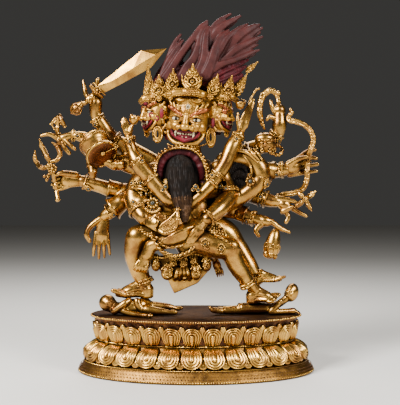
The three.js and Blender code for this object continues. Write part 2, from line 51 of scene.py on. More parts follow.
def seen(x, z, depth=0):  # a point drawn in the front view, slid along the sight line to its depth
    spread = 1 + depth / eye["distance"]
    across = eye["across"] + (x - eye["across"]) * spread
    up = eye["height"] + (z - eye["height"]) * spread
    return Vector((across, depth, platformHeight + up)) * mm


def placed(x, y, z):  # a point by its true place, height above the platform
    return Vector((x, y, platformHeight + z)) * mm


def drawn(joints):  # (x, z, depth, radius) joints to points and radii
    return [seen(*joint[:3]) for joint in joints], [joint[3] * mm for joint in joints]


def laid(joints):  # (x, y, z, radius) joints to points and radii
    return [placed(*joint[:3]) for joint in joints], [joint[3] * mm for joint in joints]


def smoothLine(points, radii, steps=4):  # a spline through the joints, with its radii
    if len(points) == 2:
        shares = [i / steps for i in range(steps + 1)]
        line = [points[0].lerp(points[1], share) for share in shares]
        return line, [radii[0] + (radii[1] - radii[0]) * share for share in shares]
    ends = [points[0] * 2 - points[1], *points, points[-1] * 2 - points[-2]]
    line, sizes = [], []
    for i in range(1, len(ends) - 2):
        before, start, end, after = ends[i - 1 : i + 3]
        for step in range(steps):
            t = step / steps
            line.append(
                0.5
                * (
                    2 * start
                    + (end - before) * t
                    + (2 * before - 5 * start + 4 * end - after) * t * t
                    + (3 * start - before - 3 * end + after) * t * t * t
                )
            )
            ease = t * t * (3 - 2 * t)
            sizes.append(radii[i - 1] + (radii[i] - radii[i - 1]) * ease)
    return [*line, points[-1]], [*sizes, radii[-1]]


def across(direction, facing=forward):  # two directions square to a line: aside and outwards
    along = direction.normalized()
    outward = facing - along * facing.dot(along)
    if outward.length < 0.05:
        outward = upward - along * upward.dot(along)
    outward.normalize()
    return along.cross(outward), outward


def around(aside, outward, turn):  # the direction at an angle between two square ones
    return aside * math.cos(turn) + outward * math.sin(turn)


def ahead(line, i):  # the way a line runs at one of its points
    return line[min(i + 1, len(line) - 1)] - line[max(i - 1, 0)]


def strung(places, steps=6):  # a spline through places of the front view
    points = [seen(*place) for place in places]
    return smoothLine(points, [0] * len(points), steps)[0]


# Shapes made with bmesh operators. Each is made alone and then added to its piece
scratch = bpy.data.meshes.new("scratch")


def add(bm, own):
    own.to_mesh(scratch)
    own.free()
    bm.from_mesh(scratch)


def vertsOf(geometry):
    return [item for item in geometry if isinstance(item, bmesh.types.BMVert)]


def tube(bm, line, sizes, sides=12, flat=1, facing=forward, rounded=True):
    points, radii = list(line), list(sizes)
    if rounded:
        caps = ((0.62, 0.78), (0.92, 0.36))
        first = (line[0] - line[1]).normalized() * sizes[0]
        last = (line[-1] - line[-2]).normalized() * sizes[-1]
        points = [line[0] + first * reach for reach, _ in caps[::-1]] + points
        points += [line[-1] + last * reach for reach, _ in caps]
        radii = [sizes[0] * share for _, share in caps[::-1]] + radii
        radii += [sizes[-1] * share for _, share in caps]
    own = bmesh.new()
    start = bmesh.ops.create_circle(own, cap_ends=True, segments=sides, radius=1)["verts"]
    face = start[0].link_faces[0]
    for i, point in enumerate(points):
        if i:
            grown = bmesh.ops.extrude_face_region(own, geom=[face])["geom"]
            face = [item for item in grown if isinstance(item, bmesh.types.BMFace)][0]
        aside, outward = across(ahead(points, i), facing)
        for k, vert in enumerate(face.verts):
            turn = 2 * math.pi * k / sides
            vert.co = (
                point
                + aside * math.cos(turn) * radii[i]
                + outward * math.sin(turn) * radii[i] * flat
            )
    bmesh.ops.recalc_face_normals(own, faces=own.faces)
    add(bm, own)


def bar(bm, points, radii, steps=4, **options):  # a tube through points, radii in mm
    tube(bm, *smoothLine(points, [radius * mm for radius in radii], steps), **options)


def wire(bm, line, radius, sides=6, **options):  # a tube of one radius in mm
    tube(bm, line, [radius * mm] * len(line), sides=sides, **options)


def limb(bm, joints, steps=4, **options):
    tube(bm, *smoothLine(*drawn(joints), steps), **options)


def lying(bm, joints, **options):
    tube(bm, *smoothLine(*laid(joints)), **options)


def mass(bm, centre, radii, lean=0, pitch=0, turn=0, detail=3):  # an egg form, angles in degrees
    tilt = Matrix.Rotation(math.radians(lean), 4, "Y") @ Matrix.Rotation(math.radians(pitch), 4, "X")
    tilt = Matrix.Rotation(math.radians(turn), 4, "Z") @ tilt
    size = Matrix.Diagonal((*[radius * mm for radius in radii], 1))
    own = bmesh.new()
    place = Matrix.Translation(centre) @ tilt @ size
    bmesh.ops.create_icosphere(own, subdivisions=detail, radius=1, matrix=place)
    add(bm, own)


beadForm = bmesh.new()
bmesh.ops.create_uvsphere(beadForm, u_segments=6, v_segments=4, radius=1)
beadMesh = bpy.data.meshes.new("bead")
beadForm.to_mesh(beadMesh)
beadForm.free()


def bead(bm, centre, radius):  # a small bead of few faces
    place = Matrix.Translation(centre) @ Matrix.Scale(radius * mm, 4)
    beadMesh.transform(place)
    bm.from_mesh(beadMesh)
    beadMesh.transform(place.inverted())


def beads(bm, line, radius, pitch):  # beads evenly strung on a line
    left = 0
    for start, end in zip(line, line[1:]):
        length = (end - start).length
        while left <= length:
            bead(bm, start.lerp(end, left / max(length, 1e-9)), radius)
            left += pitch * mm
        left -= length


def turned(bm, profile, start, end, sides=20):  # (radius mm, share of the way) pairs, spun
    axis = end - start
    aside, _ = across(axis)
    rim = [start + axis * share + aside * radius * mm for radius, share in profile]
    own = bmesh.new()
    ends = start + axis * profile[0][1], start + axis * profile[-1][1]
    verts = [own.verts.new(point) for point in [ends[0], *rim, ends[1]]]
    edges = [own.edges.new(pair) for pair in zip(verts, verts[1:])]
    bmesh.ops.spin(
        own, geom=verts + edges, cent=start, axis=axis.normalized(), angle=2 * math.pi,
        steps=sides, use_merge=True,
    )
    bmesh.ops.remove_doubles(own, verts=own.verts, dist=1e-6)
    bmesh.ops.recalc_face_normals(own, faces=own.faces)
    add(bm, own)


def ringLine(centre, axis, radius, count=24, flat=1, facing=forward):  # points round an axis
    aside, outward = across(axis, facing)
    turns = [2 * math.pi * i / count for i in range(count + 1)]
    return [
        centre + (aside * math.cos(turn) + outward * math.sin(turn) * flat) * radius * mm for turn in turns
    ]


def hoop(bm, centre, axis, radius, thick, count=20, flat=1, facing=forward):  # a closed ring of wire
    line = ringLine(centre, axis, radius, count, flat, facing)
    wire(bm, line, thick, facing=axis.normalized(), rounded=False)


def plate(bm, outline, depth, thick):  # a flat form with softened edges, from its back outwards
    own = bmesh.new()
    face = own.faces.new([own.verts.new(seen(x, z, depth)) for x, z in outline])
    grown = bmesh.ops.extrude_face_region(own, geom=[face])["geom"]
    bmesh.ops.translate(own, verts=vertsOf(grown), vec=forward * thick * mm)
    bmesh.ops.recalc_face_normals(own, faces=own.faces)
    bmesh.ops.bevel(
        own, geom=own.edges, offset=0.5 * mm, segments=2, profile=0.5, affect="EDGES", material=-1,
    )
    add(bm, own)


# Finished pieces


def newPiece(name, bm, finish, smooth=True):
    bmesh.ops.recalc_face_normals(bm, faces=bm.faces)
    mesh = bpy.data.meshes.new(name)
    bm.to_mesh(mesh)
    bm.free()
    piece = bpy.data.objects.new(name, mesh)
    bpy.context.scene.collection.objects.link(piece)
    mesh.materials.append(finish)
    mesh.polygons.foreach_set("use_smooth", [smooth] * len(mesh.polygons))
    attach(piece, "root")
    return piece


def cast(piece, voxel, rounds=2):  # melts overlapping forms into one skin
    melt = piece.modifiers.new("melt", "REMESH")
    melt.mode = "VOXEL"
    melt.voxel_size = voxel * mm
    polish = piece.modifiers.new("polish", "SMOOTH")
    polish.iterations = rounds
    polish.factor = 0.5
    bpy.context.view_layer.update()
    skin = bpy.data.meshes.new_from_object(piece.evaluated_get(bpy.context.evaluated_depsgraph_get()))
    piece.modifiers.clear()
    skin.name = piece.name
    piece.data = skin
    skin.polygons.foreach_set("use_smooth", [True] * len(skin.polygons))
    return piece


def report(stage, *pieces):
    count = sum(sum(len(face.vertices) - 2 for face in piece.data.polygons) for piece in pieces)
    print(f"{stage}: {len(pieces)} pieces, {count} triangles")


# Finishes


def tint(code):  # "#rrggbb" in sRGB to linear
    parts = [int(code[i : i + 2], 16) / 255 for i in (1, 3, 5)]
    return (*[p / 12.92 if p <= 0.04045 else ((p + 0.055) / 1.055) ** 2.4 for p in parts], 1)


def addNode(tree, kind, settings=None, inputs=None):
    node = tree.nodes.new("ShaderNode" + kind)
    for name, value in (settings or {}).items():
        setattr(node, name, value)
    for socket, value in (inputs or {}).items():
        if isinstance(value, bpy.types.NodeSocket):
            tree.links.new(value, node.inputs[socket])
        else:
            node.inputs[socket].default_value = value
    return node


def finish(name, light, dark, recessShade, metallic, rough, mottle, grain, recessDepth, bump, specular=0.5):
    # mottle and grain are pattern sizes in mm, rough is the smoothest and roughest value; the third colour is
    # painted shade, mixed in where ambient occlusion finds hollows within recessDepth
    material = bpy.data.materials.new(name)
    material.use_nodes = True
    tree = material.node_tree
    tree.nodes.clear()
    place = addNode(tree, "TexCoord").outputs["Object"]
    broad = addNode(
        tree, "TexNoise", inputs={"Vector": place, "Scale": 1 / (mottle * mm), "Detail": 4, "Roughness": 0.6}
    )
    fine = addNode(
        tree, "TexNoise", inputs={"Vector": place, "Scale": 1 / (grain * mm), "Detail": 3, "Roughness": 0.7}
    )
    patches = addNode(
        tree, "MapRange",
        inputs={"Value": broad.outputs["Fac"], "From Min": 0.38, "From Max": 0.64},
    )
    body = addNode(
        tree, "Mix", {"data_type": "RGBA"}, {0: patches.outputs["Result"], 6: tint(light), 7: tint(dark)}
    )
    # ambient occlusion darkens hollows towards the recess colour: painted shade
    shade = addNode(
        tree, "AmbientOcclusion", {"samples": 6, "only_local": False}, {"Distance": recessDepth * mm}
    )
    shadeMask = addNode(
        tree, "MapRange",
        inputs={"Value": shade.outputs["AO"], "From Min": 0.15, "From Max": 0.88, "To Min": 1, "To Max": 0},
    )
    bodyWithPaintedShade = addNode(
        tree, "Mix", {"data_type": "RGBA"},
        {0: shadeMask.outputs["Result"], 6: body.outputs[2], 7: tint(recessShade)},
    )
    gloss = addNode(
        tree, "MapRange",
        inputs={
            "Value": fine.outputs["Fac"], "From Min": 0.3, "From Max": 0.7, "To Min": rough[0],
            "To Max": rough[1],
        },
    )
    dull = addNode(
        tree, "Math", {"operation": "MULTIPLY_ADD"},
        {0: shadeMask.outputs["Result"], 1: 0.2, 2: gloss.outputs["Result"]},
    )
    relief = addNode(
        tree, "Bump", inputs={"Strength": bump, "Distance": 0.12 * mm, "Height": fine.outputs["Fac"]}
    )
    shader = addNode(
        tree, "BsdfPrincipled",
        inputs={
            "Base Color": bodyWithPaintedShade.outputs[2],
            "Metallic": metallic,
            "Roughness": dull.outputs["Value"],
            "Specular IOR Level": specular,
            "Normal": relief.outputs["Normal"],
        },
    )
    addNode(tree, "OutputMaterial", inputs={"Surface": shader.outputs[0]})
    return material


# Fire gilding is a soft bright yellow that turns brown-orange where it wears thin over the copper
fireGilding = finish(
    "fireGiltCopper", "#cb9a48", "#84582b", "#1c120b", metallic=1, rough=(0.22, 0.35),
    mottle=11, grain=0.7, recessDepth=8, bump=0.05,
)
# The same gilding on the plinth is paler, with plum-brown painted shade in its recesses
plinthGilding = finish(
    "fireGiltPlinth", "#e4b355", "#b07c3c", "#2c1710", metallic=1, rough=(0.22, 0.38),
    mottle=9, grain=0.6, recessDepth=3.6, bump=0.16,
)
# On the plinth's foot the gilding is browner and chased all over with fine work
wornGilding = finish(
    "chasedBrownGilding", "#92672c", "#614420", "#22150f", metallic=1, rough=(0.34, 0.5),
    mottle=6, grain=0.9, recessDepth=2.4, bump=0.7,
)
# The groove under the rim has tarnished to a plum brown
plumTarnish = finish(
    "plumTarnish", "#8a6240", "#4c302a", "#170d0c", metallic=1, rough=(0.4, 0.55),
    mottle=2, grain=0.9, recessDepth=2.4, bump=0.8,
)
# The drum's skin is bare copper, reddish brown with a satin gloss
bareCopper = finish(
    "bareCopper", "#7d4c28", "#4a2a18", "#190d08", metallic=1, rough=(0.3, 0.45),
    mottle=9, grain=0.8, recessDepth=5, bump=0.15,
)
# The platform's top is gilding rubbed down to a satin brown
platformGilding = finish(
    "rubbedBrownGilding", "#573a20", "#33221a", "#150c08", metallic=1, rough=(0.48, 0.64),
    mottle=12, grain=0.8, recessDepth=7, bump=0.2,
)
# Powdered gold in glue, painted cold on the faces, is matt and paler
coldGold = finish(
    "coldGoldPaint", "#cd993a", "#9b6a2a", "#32150a", metallic=0.8, rough=(0.28, 0.42),
    mottle=6, grain=0.5, recessDepth=3.4, bump=0.15,
)
# Mineral red in glue on the flame hair is dull, brown where it has faded
flameRed = finish(
    "mineralRedPaint", "#421d1a", "#311412", "#0b0303", metallic=0, rough=(0.45, 0.6),
    mottle=8, grain=0.5, recessDepth=5, bump=0.1, specular=0.16,
)
# Under the hair and inside the consort's crown the red has stayed a deep crimson
deepCrimson = finish(
    "deepCrimsonPaint", "#4b1016", "#340b0f", "#110304", metallic=0, rough=(0.45, 0.6),
    mottle=6, grain=0.6, recessDepth=4, bump=0.2, specular=0.15,
)
# The brows are a thin red glaze through which the gold still shines
redGlaze = finish(
    "redGlazeOverGold", "#a35c2c", "#7d4022", "#280e08", metallic=0.75, rough=(0.25, 0.38),
    mottle=4, grain=0.5, recessDepth=3, bump=0.12,
)
# Crimson on the lips and in the mouths
crimsonPaint = finish(
    "crimsonPaint", "#74101f", "#500d18", "#1c0406", metallic=0, rough=(0.4, 0.55),
    mottle=6, grain=0.6, recessDepth=3, bump=0.15, specular=0.25,
)
# Lamp-black hair with a little brown where it is rubbed
hairPaint = finish(
    "lampBlackPaint", "#100d0b", "#1d1510", "#050303", metallic=0, rough=(0.5, 0.65),
    mottle=5, grain=0.5, recessDepth=3, bump=0.15, specular=0.1,
)
# The ends of the hair are brown, with a little of the metal showing
brownHair = finish(
    "rubbedBrownPaint", "#4a321d", "#281a10", "#0a0604", metallic=0.6, rough=(0.4, 0.55),
    mottle=5, grain=0.6, recessDepth=3, bump=0.15, specular=0.2,
)
# Eyes and teeth are touched in with a white that has yellowed
palePaint = finish(
    "yellowedWhitePaint", "#cdb98e", "#85714f", "#42200f", metallic=0, rough=(0.3, 0.45),
    mottle=3, grain=0.5, recessDepth=1.2, bump=0.1, specular=0.4,
)
# Set turquoise and glass stones look dark grey with a clear glint
stoneGlass = finish(
    "stoneGlass", "#3a3b30", "#1e1e18", "#0a0908", metallic=0, rough=(0.1, 0.2),
    mottle=3, grain=0.5, recessDepth=1, bump=0.05,
)


# The oval double-lotus plinth
plinth = {
    "halfWidth": 63, "halfDepth": 36.4,  # the platform's edge
    "petals": 26, "turn": -0.18,  # the front petal stands a little aside, as a share of a petal
    "topFrom": 33.7, "grooveFrom": 20,  # heights in mm above which the finish changes
    "sides": 260, "wireSteps": 200,  # steps round the core and along its wires
    # round the oval, each (how far out from the platform's edge, height)
    "core": [
        (6.6, 0), (7.2, 0.5), (7.2, 1.4), (6.5, 2.2), (4.4, 5.4), (2.8, 7.2), (0.8, 7.9), (-1.2, 9.4),
        (-3.2, 14), (-5.2, 18), (-5.5, 18.8), (-5.2, 19.6), (-4.2, 25), (-3.4, 29), (-3, 30.6), (-2, 31.8),
        (-1.1, 32.3), (-0.8, 32.8), (-0.8, 33.5), (-1.2, 33.9), (-2, 34),
    ],
    "upper": [(-5, 18.9), (-3.9, 22.6), (-2.9, 26.2), (-1.7, 29.9)],
    "lower": [(-5.2, 18.4), (-1.8, 17.2), (1.6, 14.6), (3.2, 11), (2.9, 7.4)],
    "upperBud": [(-4.2, 24), (-3.2, 27.6), (-2, 31)],
    "lowerBud": [(0.6, 13), (2.6, 9.8), (2.8, 6.9)],
    # rows of petals: line, place and half width as shares of a petal, relief, where its sides end
    "rows": [
        ("upper", 0, 0.49, 1.75, 0.53), ("lower", 0, 0.49, 1.75, 0.59),
        ("upperBud", 0.5, 0.22, 0.9, 0.3), ("lowerBud", 0.5, 0.24, 0.9, 0.3),
    ],
    "wires": [(-4.9, 18.7, 0.55), (3.6, 6.9, 0.3)],  # how far out, height, radius
    # rows of beads: how far out, height, radius, number
    "beads": [(-0.3, 33.1, 0.56, 236), (6.9, 1.1, 0.66, 246)],
    "dots": [(6.52, 2.9, 0.34, 180), (5.8, 4.5, 0.3, 180), (4.25, 5.9, 0.26, 180)],
}


def ovalTable(halfWidth, halfDepth):  # share of the way round to angle
    count = 720
    angles = [2 * math.pi * i / count for i in range(count + 1)]
    lengths = [0]
    for i in range(count):
        middle = (angles[i] + angles[i + 1]) / 2
        lengths.append(lengths[-1] + math.hypot(halfWidth * math.sin(middle), halfDepth * math.cos(middle)))
    return angles, [length / lengths[-1] for length in lengths]


ovalAngles, ovalShares = ovalTable(plinth["halfWidth"], plinth["halfDepth"])


def ovalPoint(share, reach, height):  # share 0 is the middle of the front
    share = (share + 0.75) % 1
    last = len(ovalShares) - 2
    low = min(int(share * (last + 1)), last)
    while low > 0 and ovalShares[low] > share:
        low -= 1
    while low < last and ovalShares[low + 1] < share:
        low += 1
    part = (share - ovalShares[low]) / (ovalShares[low + 1] - ovalShares[low])
    angle = ovalAngles[low] + part * (ovalAngles[low + 1] - ovalAngles[low])
    x = (plinth["halfWidth"] + reach) * math.cos(angle)
    y = (plinth["halfDepth"] + reach) * math.sin(angle)
    return Vector((x, y, height)) * mm


def plinthCore():
    bm, sides = bmesh.new(), plinth["sides"]
    ring = bmesh.ops.create_circle(bm, segments=sides, radius=1)["verts"]
    for level, (reach, height) in enumerate(plinth["core"]):
        if level:
            edges = [edge for edge in bm.edges if all(vert in ringSet for vert in edge.verts)]
            grown = bmesh.ops.extrude_edge_only(bm, edges=edges)["geom"]
            ring = sorted(vertsOf(grown), key=lambda vert: order[tuple(round(c, 9) for c in vert.co)])
        ringSet = set(ring)
        for i, vert in enumerate(ring):
            vert.co = ovalPoint(i / sides, reach, height)
        order = {tuple(round(c, 9) for c in vert.co): i for i, vert in enumerate(ring)}
    bm.verts.ensure_lookup_table()
    bmesh.ops.holes_fill(bm, edges=[edge for edge in bm.edges if edge.is_boundary], sides=0)
    piece = newPiece("plinth_core", bm, wornGilding)
    piece.data.materials.append(platformGilding)
    piece.data.materials.append(plumTarnish)
    for face in piece.data.polygons:
        if face.center.z > plinth["topFrom"] * mm:
            face.material_index = 1
            face.use_smooth = len(face.vertices) < 5
        elif face.center.z > plinth["grooveFrom"] * mm:
            face.material_index = 2
        if len(face.vertices) > 4:
            face.use_smooth = False
    return piece


# a petal's section from its middle to its edge: (share of the way, share of the relief)
petalRings = [
    (0, 1.2), (0.12, 1.1), (0.2, 0.7), (0.26, 0.05), (0.33, 0.7), (0.41, 0.85), (0.48, 0.6), (0.53, 0),
    (0.6, 0.65), (0.67, 0.75), (0.73, 0.5), (0.78, 0), (0.84, 0.55), (0.9, 0.6), (0.96, 0.2), (1, -0.9),
]
budRings = [(0, 1), (0.22, 0.8), (0.4, 0.3), (0.6, 0.8), (0.82, 0.6), (1, -0.9)]


def petal(bm, middle, halfWidth, profile, relief, belly, rings, cells):
    # the rings run up one side, over the tip and down the other; belly is where the sides end
    line, _ = smoothLine([Vector((reach, height, 0)) for reach, height in profile], [0] * len(profile), 8)
    own = bmesh.new()
    grid = bmesh.ops.create_grid(own, x_segments=len(rings) - 1, y_segments=cells, size=1)["verts"]
    for vert in grid:
        out, high = rings[round((vert.co.x + 1) / 2 * (len(rings) - 1))]
        along = vert.co.y * 2
        if abs(along) > 1:
            t = belly * (2 - abs(along))
            s = math.copysign(out, along) * (1 - 0.42 * (1 - t / belly) ** 1.6)
        else:
            t = belly + (1 - belly) * out * math.cos(along * math.pi / 2)
            s = out * math.sin(along * math.pi / 2)
        row = min(int(t * (len(line) - 1)), len(line) - 2)
        place = line[row].lerp(line[row + 1], t * (len(line) - 1) - row)
        lift = relief * (high if t > 0.01 else min(high, 0))
        vert.co = ovalPoint(middle + s * halfWidth, place.x + lift, place.y)
    bmesh.ops.remove_doubles(own, verts=own.verts, dist=1e-7)
    bmesh.ops.holes_fill(own, edges=[edge for edge in own.edges if edge.is_boundary], sides=0)
    bmesh.ops.recalc_face_normals(own, faces=own.faces)
    add(bm, own)


def plinthPetals():
    bm = bmesh.new()
    count = plinth["petals"]
    for i in range(count):
        middle = (i + plinth["turn"]) / count
        for line, aside, width, relief, belly in plinth["rows"]:
            rings, cells = (budRings, 14) if aside else (petalRings, 26)
            petal(bm, middle + aside / count, width / count, plinth[line], relief, belly, rings, cells)
    return newPiece("plinth_petals", bm, plinthGilding)


def plinthBeads():
    bm = bmesh.new()
    for reach, height, radius, count in plinth["beads"]:
        for i in range(count):
            bead(bm, ovalPoint(i / count, reach, height), radius)
    for reach, height, radius in plinth["wires"]:
        line = [ovalPoint(i / plinth["wireSteps"], reach, height) for i in range(plinth["wireSteps"] + 1)]
        wire(bm, line, radius, facing=upward, rounded=False)
    dots = bmesh.new()
    for row, (reach, height, radius, count) in enumerate(plinth["dots"]):
        for i in range(count):
            bead(dots, ovalPoint((i + 0.5 * row) / count, reach, height), radius)
    return [
        newPiece("plinth_beading", bm, plinthGilding),
        newPiece("plinth_punched_dots", dots, plumTarnish),
    ]


plinthPieces = [plinthCore(), plinthPetals(), *plinthBeads()]
for piece in plinthPieces:
    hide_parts("lotus_plinth")
report("plinth", *plinthPieces)

# Feet and hands


def foot(bm, heel, toe, ankle, width, inner, toeLift=0, slope=0):  # inner: the side of the big toe
    along = toe - heel
    aside = upward.cross(along).normalized()
    if aside.dot(inner) < 0:
        aside = -aside

    def at(share, rise, offset=0):  # rise and offset are shares of the foot's width
        return heel + along * share + (aside * offset + upward * (rise + offset * slope)) * width * mm

    def layer(places, shares, **options):
        bar(bm, [at(*place) for place in places], [share * width for share in shares], **options)

    sole = [(0, 0.22), (0.3, 0.24), (0.6, 0.22), (0.76, 0.22)]
    instep = [(0, 0.5), (0.25, 0.58), (0.5, 0.48), (0.72, 0.32)]
    layer(sole, [0.4, 0.38, 0.44, 0.36], sides=16, flat=0.5, facing=upward)
    layer(instep, [0.38, 0.36, 0.38, 0.3], sides=16, flat=0.8, facing=upward)
    layer([(0.12, 0.95), (0.35, 0.72), (0.62, 0.44)], [0.3, 0.28, 0.28], sides=12)
    profile = [(radius * width, share) for radius, share in ((0.3, 0), (0.41, 0.1), (0.43, 0.7), (0.3, 1))]
    turned(bm, profile, at(0, 0), at(0, 0.85))
    line = [ankle, at(0.12, 0.9), at(0.2, 0.6)]
    bar(bm, line, [width * share for share in (0.44, 0.42, 0.36)], sides=14)
    for i in range(5):
        place = 0.36 - 0.185 * i
        thick = 0.17 if i == 0 else 0.12
        joints = [
            (0.66, 0.26, place * 0.92), (0.84, 0.26 + toeLift * 0.5, place),
            (1 - 0.022 * i * i, 0.24 + toeLift, place),
        ]
        layer(joints, [thick, thick * 0.95, thick * 0.85], sides=10)


def openHand(bm, hand):
    start, middle, end = [seen(*place) for place in (hand["wrist"], hand["knuckles"], hand["tips"])]
    size, spread = hand["size"], hand.get("spread", 1.3)
    along = end - middle
    aside = along.cross(-forward).normalized()
    outward = aside.cross(along).normalized()
    bar(bm, [start, middle], [size * 0.74, size * 0.98], sides=16, flat=0.5)
    for i in range(4):
        place = i / 1.5 - 1
        root = middle + aside * place * size * 0.76 * mm - along * 0.12
        reach = 1 - 0.12 * abs(i - 1.3)
        tip = middle + along * reach + aside * place * size * spread * 0.8 * mm
        bend = root.lerp(tip, 0.55) - outward * size * hand.get("curl", 0.18) * mm
        bar(bm, [root, bend, tip], [size * share for share in (0.28, 0.26, 0.19)], 3, sides=10)
    sizes = [size * share for share in (0.4, 0.42, 0.38, 0.26)][-len(hand["thumb"]) :]
    bar(bm, [seen(*place) for place in hand["thumb"]], sizes, 3, sides=10)


def grip(bm, centre, shaft, wrist, size):  # a hand closed round a shaft
    axis = shaft.normalized()
    back = (wrist - centre) - axis * (wrist - centre).dot(axis)
    back.normalize()
    side = axis.cross(back)
    if side.dot(forward) < 0:
        side = -side
    mass(bm, centre + back * size * 0.55 * mm, (size * 0.86, size * 0.86, size * 0.95))
    for i in range(4):
        row = centre + axis * (i - 1.5) * 0.46 * size * mm
        line = []
        for degrees in (-125, -80, -35, 10, 55, 100):
            turn = math.radians(degrees)
            line.append(row + (-back * math.cos(turn) - side * math.sin(turn)) * size * 0.66 * mm)
        bar(bm, line, [size * 0.27] * 6, 3, sides=10)
    line = [
        centre + (back * 0.9 + side * 0.3 - axis * 0.5) * size * mm,
        centre + (back * 0.3 + side * 0.95 - axis * 0.35) * size * mm,
        centre + (-back * 0.35 + side * 0.95 + axis * 0.1) * size * mm,
    ]
    bar(bm, line, [size * 0.34, size * 0.3, size * 0.24], 3, sides=10)


# The guardian's trunk and legs
trunk = {
    "torso": [
        (-1, 42, 7, 12), (-1, 53, 7, 13.5), (-3, 68, 8, 12.5), (-4, 84, 7, 17), (-5, 95, 5, 8.6),
        (-5, 104, 4, 7.4),
    ],
    "rightThigh": [(-4, 50, 5, 10.5), (-20, 49, -1, 9.4), (-34.6, 45.6, -7, 7)],
    "rightShin": [
        (-35.4, 45.6, -7, 6.9), (-36.6, 36, -5.6, 6.5), (-34.4, 26, -5.6, 5.6), (-31.2, 18, -6, 4.7),
    ],
    "leftThigh": [(6, 50, 7, 10.5), (17, 47.4, 7, 8.6), (25.6, 37.4, 5.4, 6.4)],
    "leftShin": [(25.2, 38.4, 5.4, 6.3), (31, 29, 3, 5.6), (36.4, 20, 1, 4.3)],
    # egg forms that fill the body out: place, radii
    "masses": [
        ((-23, 81, 5), (9, 8, 9.5)), ((14, 81, 5), (9, 8, 9.5)),
        ((-35.4, 45.2, -8.6), (6.6, 5.6, 6.8)),  # kneecap
        ((-37.4, 35, -3), (5.6, 6, 9)),  # calf
        ((-15.6, 75.6, 0), (9.4, 7.6, 8)), ((8, 76, 0), (9.4, 7.6, 8)),  # chest
        ((-13, 84, 12), (8.4, 5.4, 9)), ((4, 84, 12), (8.4, 5.4, 9)),  # shoulder blades
        ((-9, 46, 12), (9, 7.4, 8.6)), ((7, 46, 12), (9, 7.4, 8.6)),  # seat
        ((-14, 63, -1), (12, 9, 9)),  # belly
        ((-30.6, 34, -5), (5, 5.6, 9)),
    ],
}


def makeTrunk():
    bm = bmesh.new()
    limb(bm, trunk["torso"], flat=0.68, sides=24)
    for part in ("rightThigh", "rightShin", "leftThigh", "leftShin"):
        limb(bm, trunk[part], sides=20)
    for place, radii in trunk["masses"]:
        mass(bm, seen(*place), radii)
    return cast(newPiece("guardian_trunk", bm, fireGilding), 0.9)


# The far arms end in closed or gesturing hands
farArms = {
    "sword": [
        (-24, 89, 9, 5.6), (-40, 98, 8, 5.4), (-50, 104, 8, 5), (-57, 113.6, 5.4, 4.2),
        (-60, 119.4, 4, 3.8), (-60.2, 125.4, 3.4, 4.2), (-59.8, 130.4, 3.4, 3),
    ],
    "axe": [
        (-22, 85, 15, 5), (-50, 98, 14, 4.8), (-66, 104.6, 10, 3.6), (-74, 106, 8, 2.6),
        (-80, 104.6, 7.4, 2.8),
    ],
    "trident": [(-20, 75, 13, 5.4), (-44, 72.6, 11, 5.2), (-58, 76, 9, 4.2), (-68, 78.8, 6.4, 3.8)],
    "drum": [(-28, 84, 4, 5.4), (-40, 89, 3, 5.6), (-49, 91, 3, 4), (-56, 93, 3, 3.8)],
    "open": [(-16, 72, 6, 5.4), (-40, 68.6, 5, 5.2), (-49, 62.4, 5, 4.4), (-54.6, 58, 5, 3.6)],
    "hook": [
        (14, 88, 11, 5.2), (32, 97.4, 11, 5.2), (44, 101, 9.6, 4), (48.4, 106, 8, 3.8),
        (50, 112.6, 7.6, 4.6), (50, 119, 7.6, 3.8),
    ],
    "bow": [(14, 79, 13, 5), (32, 85, 10.4, 5), (45, 85, 7, 4.8), (53, 85.6, 5, 4)],
    "vajra": [(12, 71, 9, 5), (34, 70.4, 7, 5), (43, 67.6, 5, 4.2), (49, 66.4, 4, 3.4)],
    "bell": [(10, 62, 8, 5), (24, 60.4, 5.4, 4.8), (32, 57.4, 3.6, 4), (38, 55.4, 2, 3.4)],
}
mainArms = {
    "right": [
        (-25, 84, 3, 7), (-33.6, 77.6, 0.6, 6.6), (-37.4, 70.4, -2.6, 6), (-35.6, 63.4, -6.4, 6),
        (-31.4, 57, -11.6, 4.4),
    ],
    "left": [
        (14, 86, 3, 6.4), (17.6, 78, 0.8, 4.8), (20, 70.4, -3.4, 5.4), (14.4, 62.6, -12, 5.2),
        (6.8, 56.2, -18, 4),
    ],
}
bentArm = [
    (16, 92, 4, 4.2), (30, 92.6, 2, 5.4), (38, 86.6, 1, 6), (38, 78.6, 0.6, 5.2), (27, 69.4, 1, 5),
    (12, 62, 4, 4.6),
]
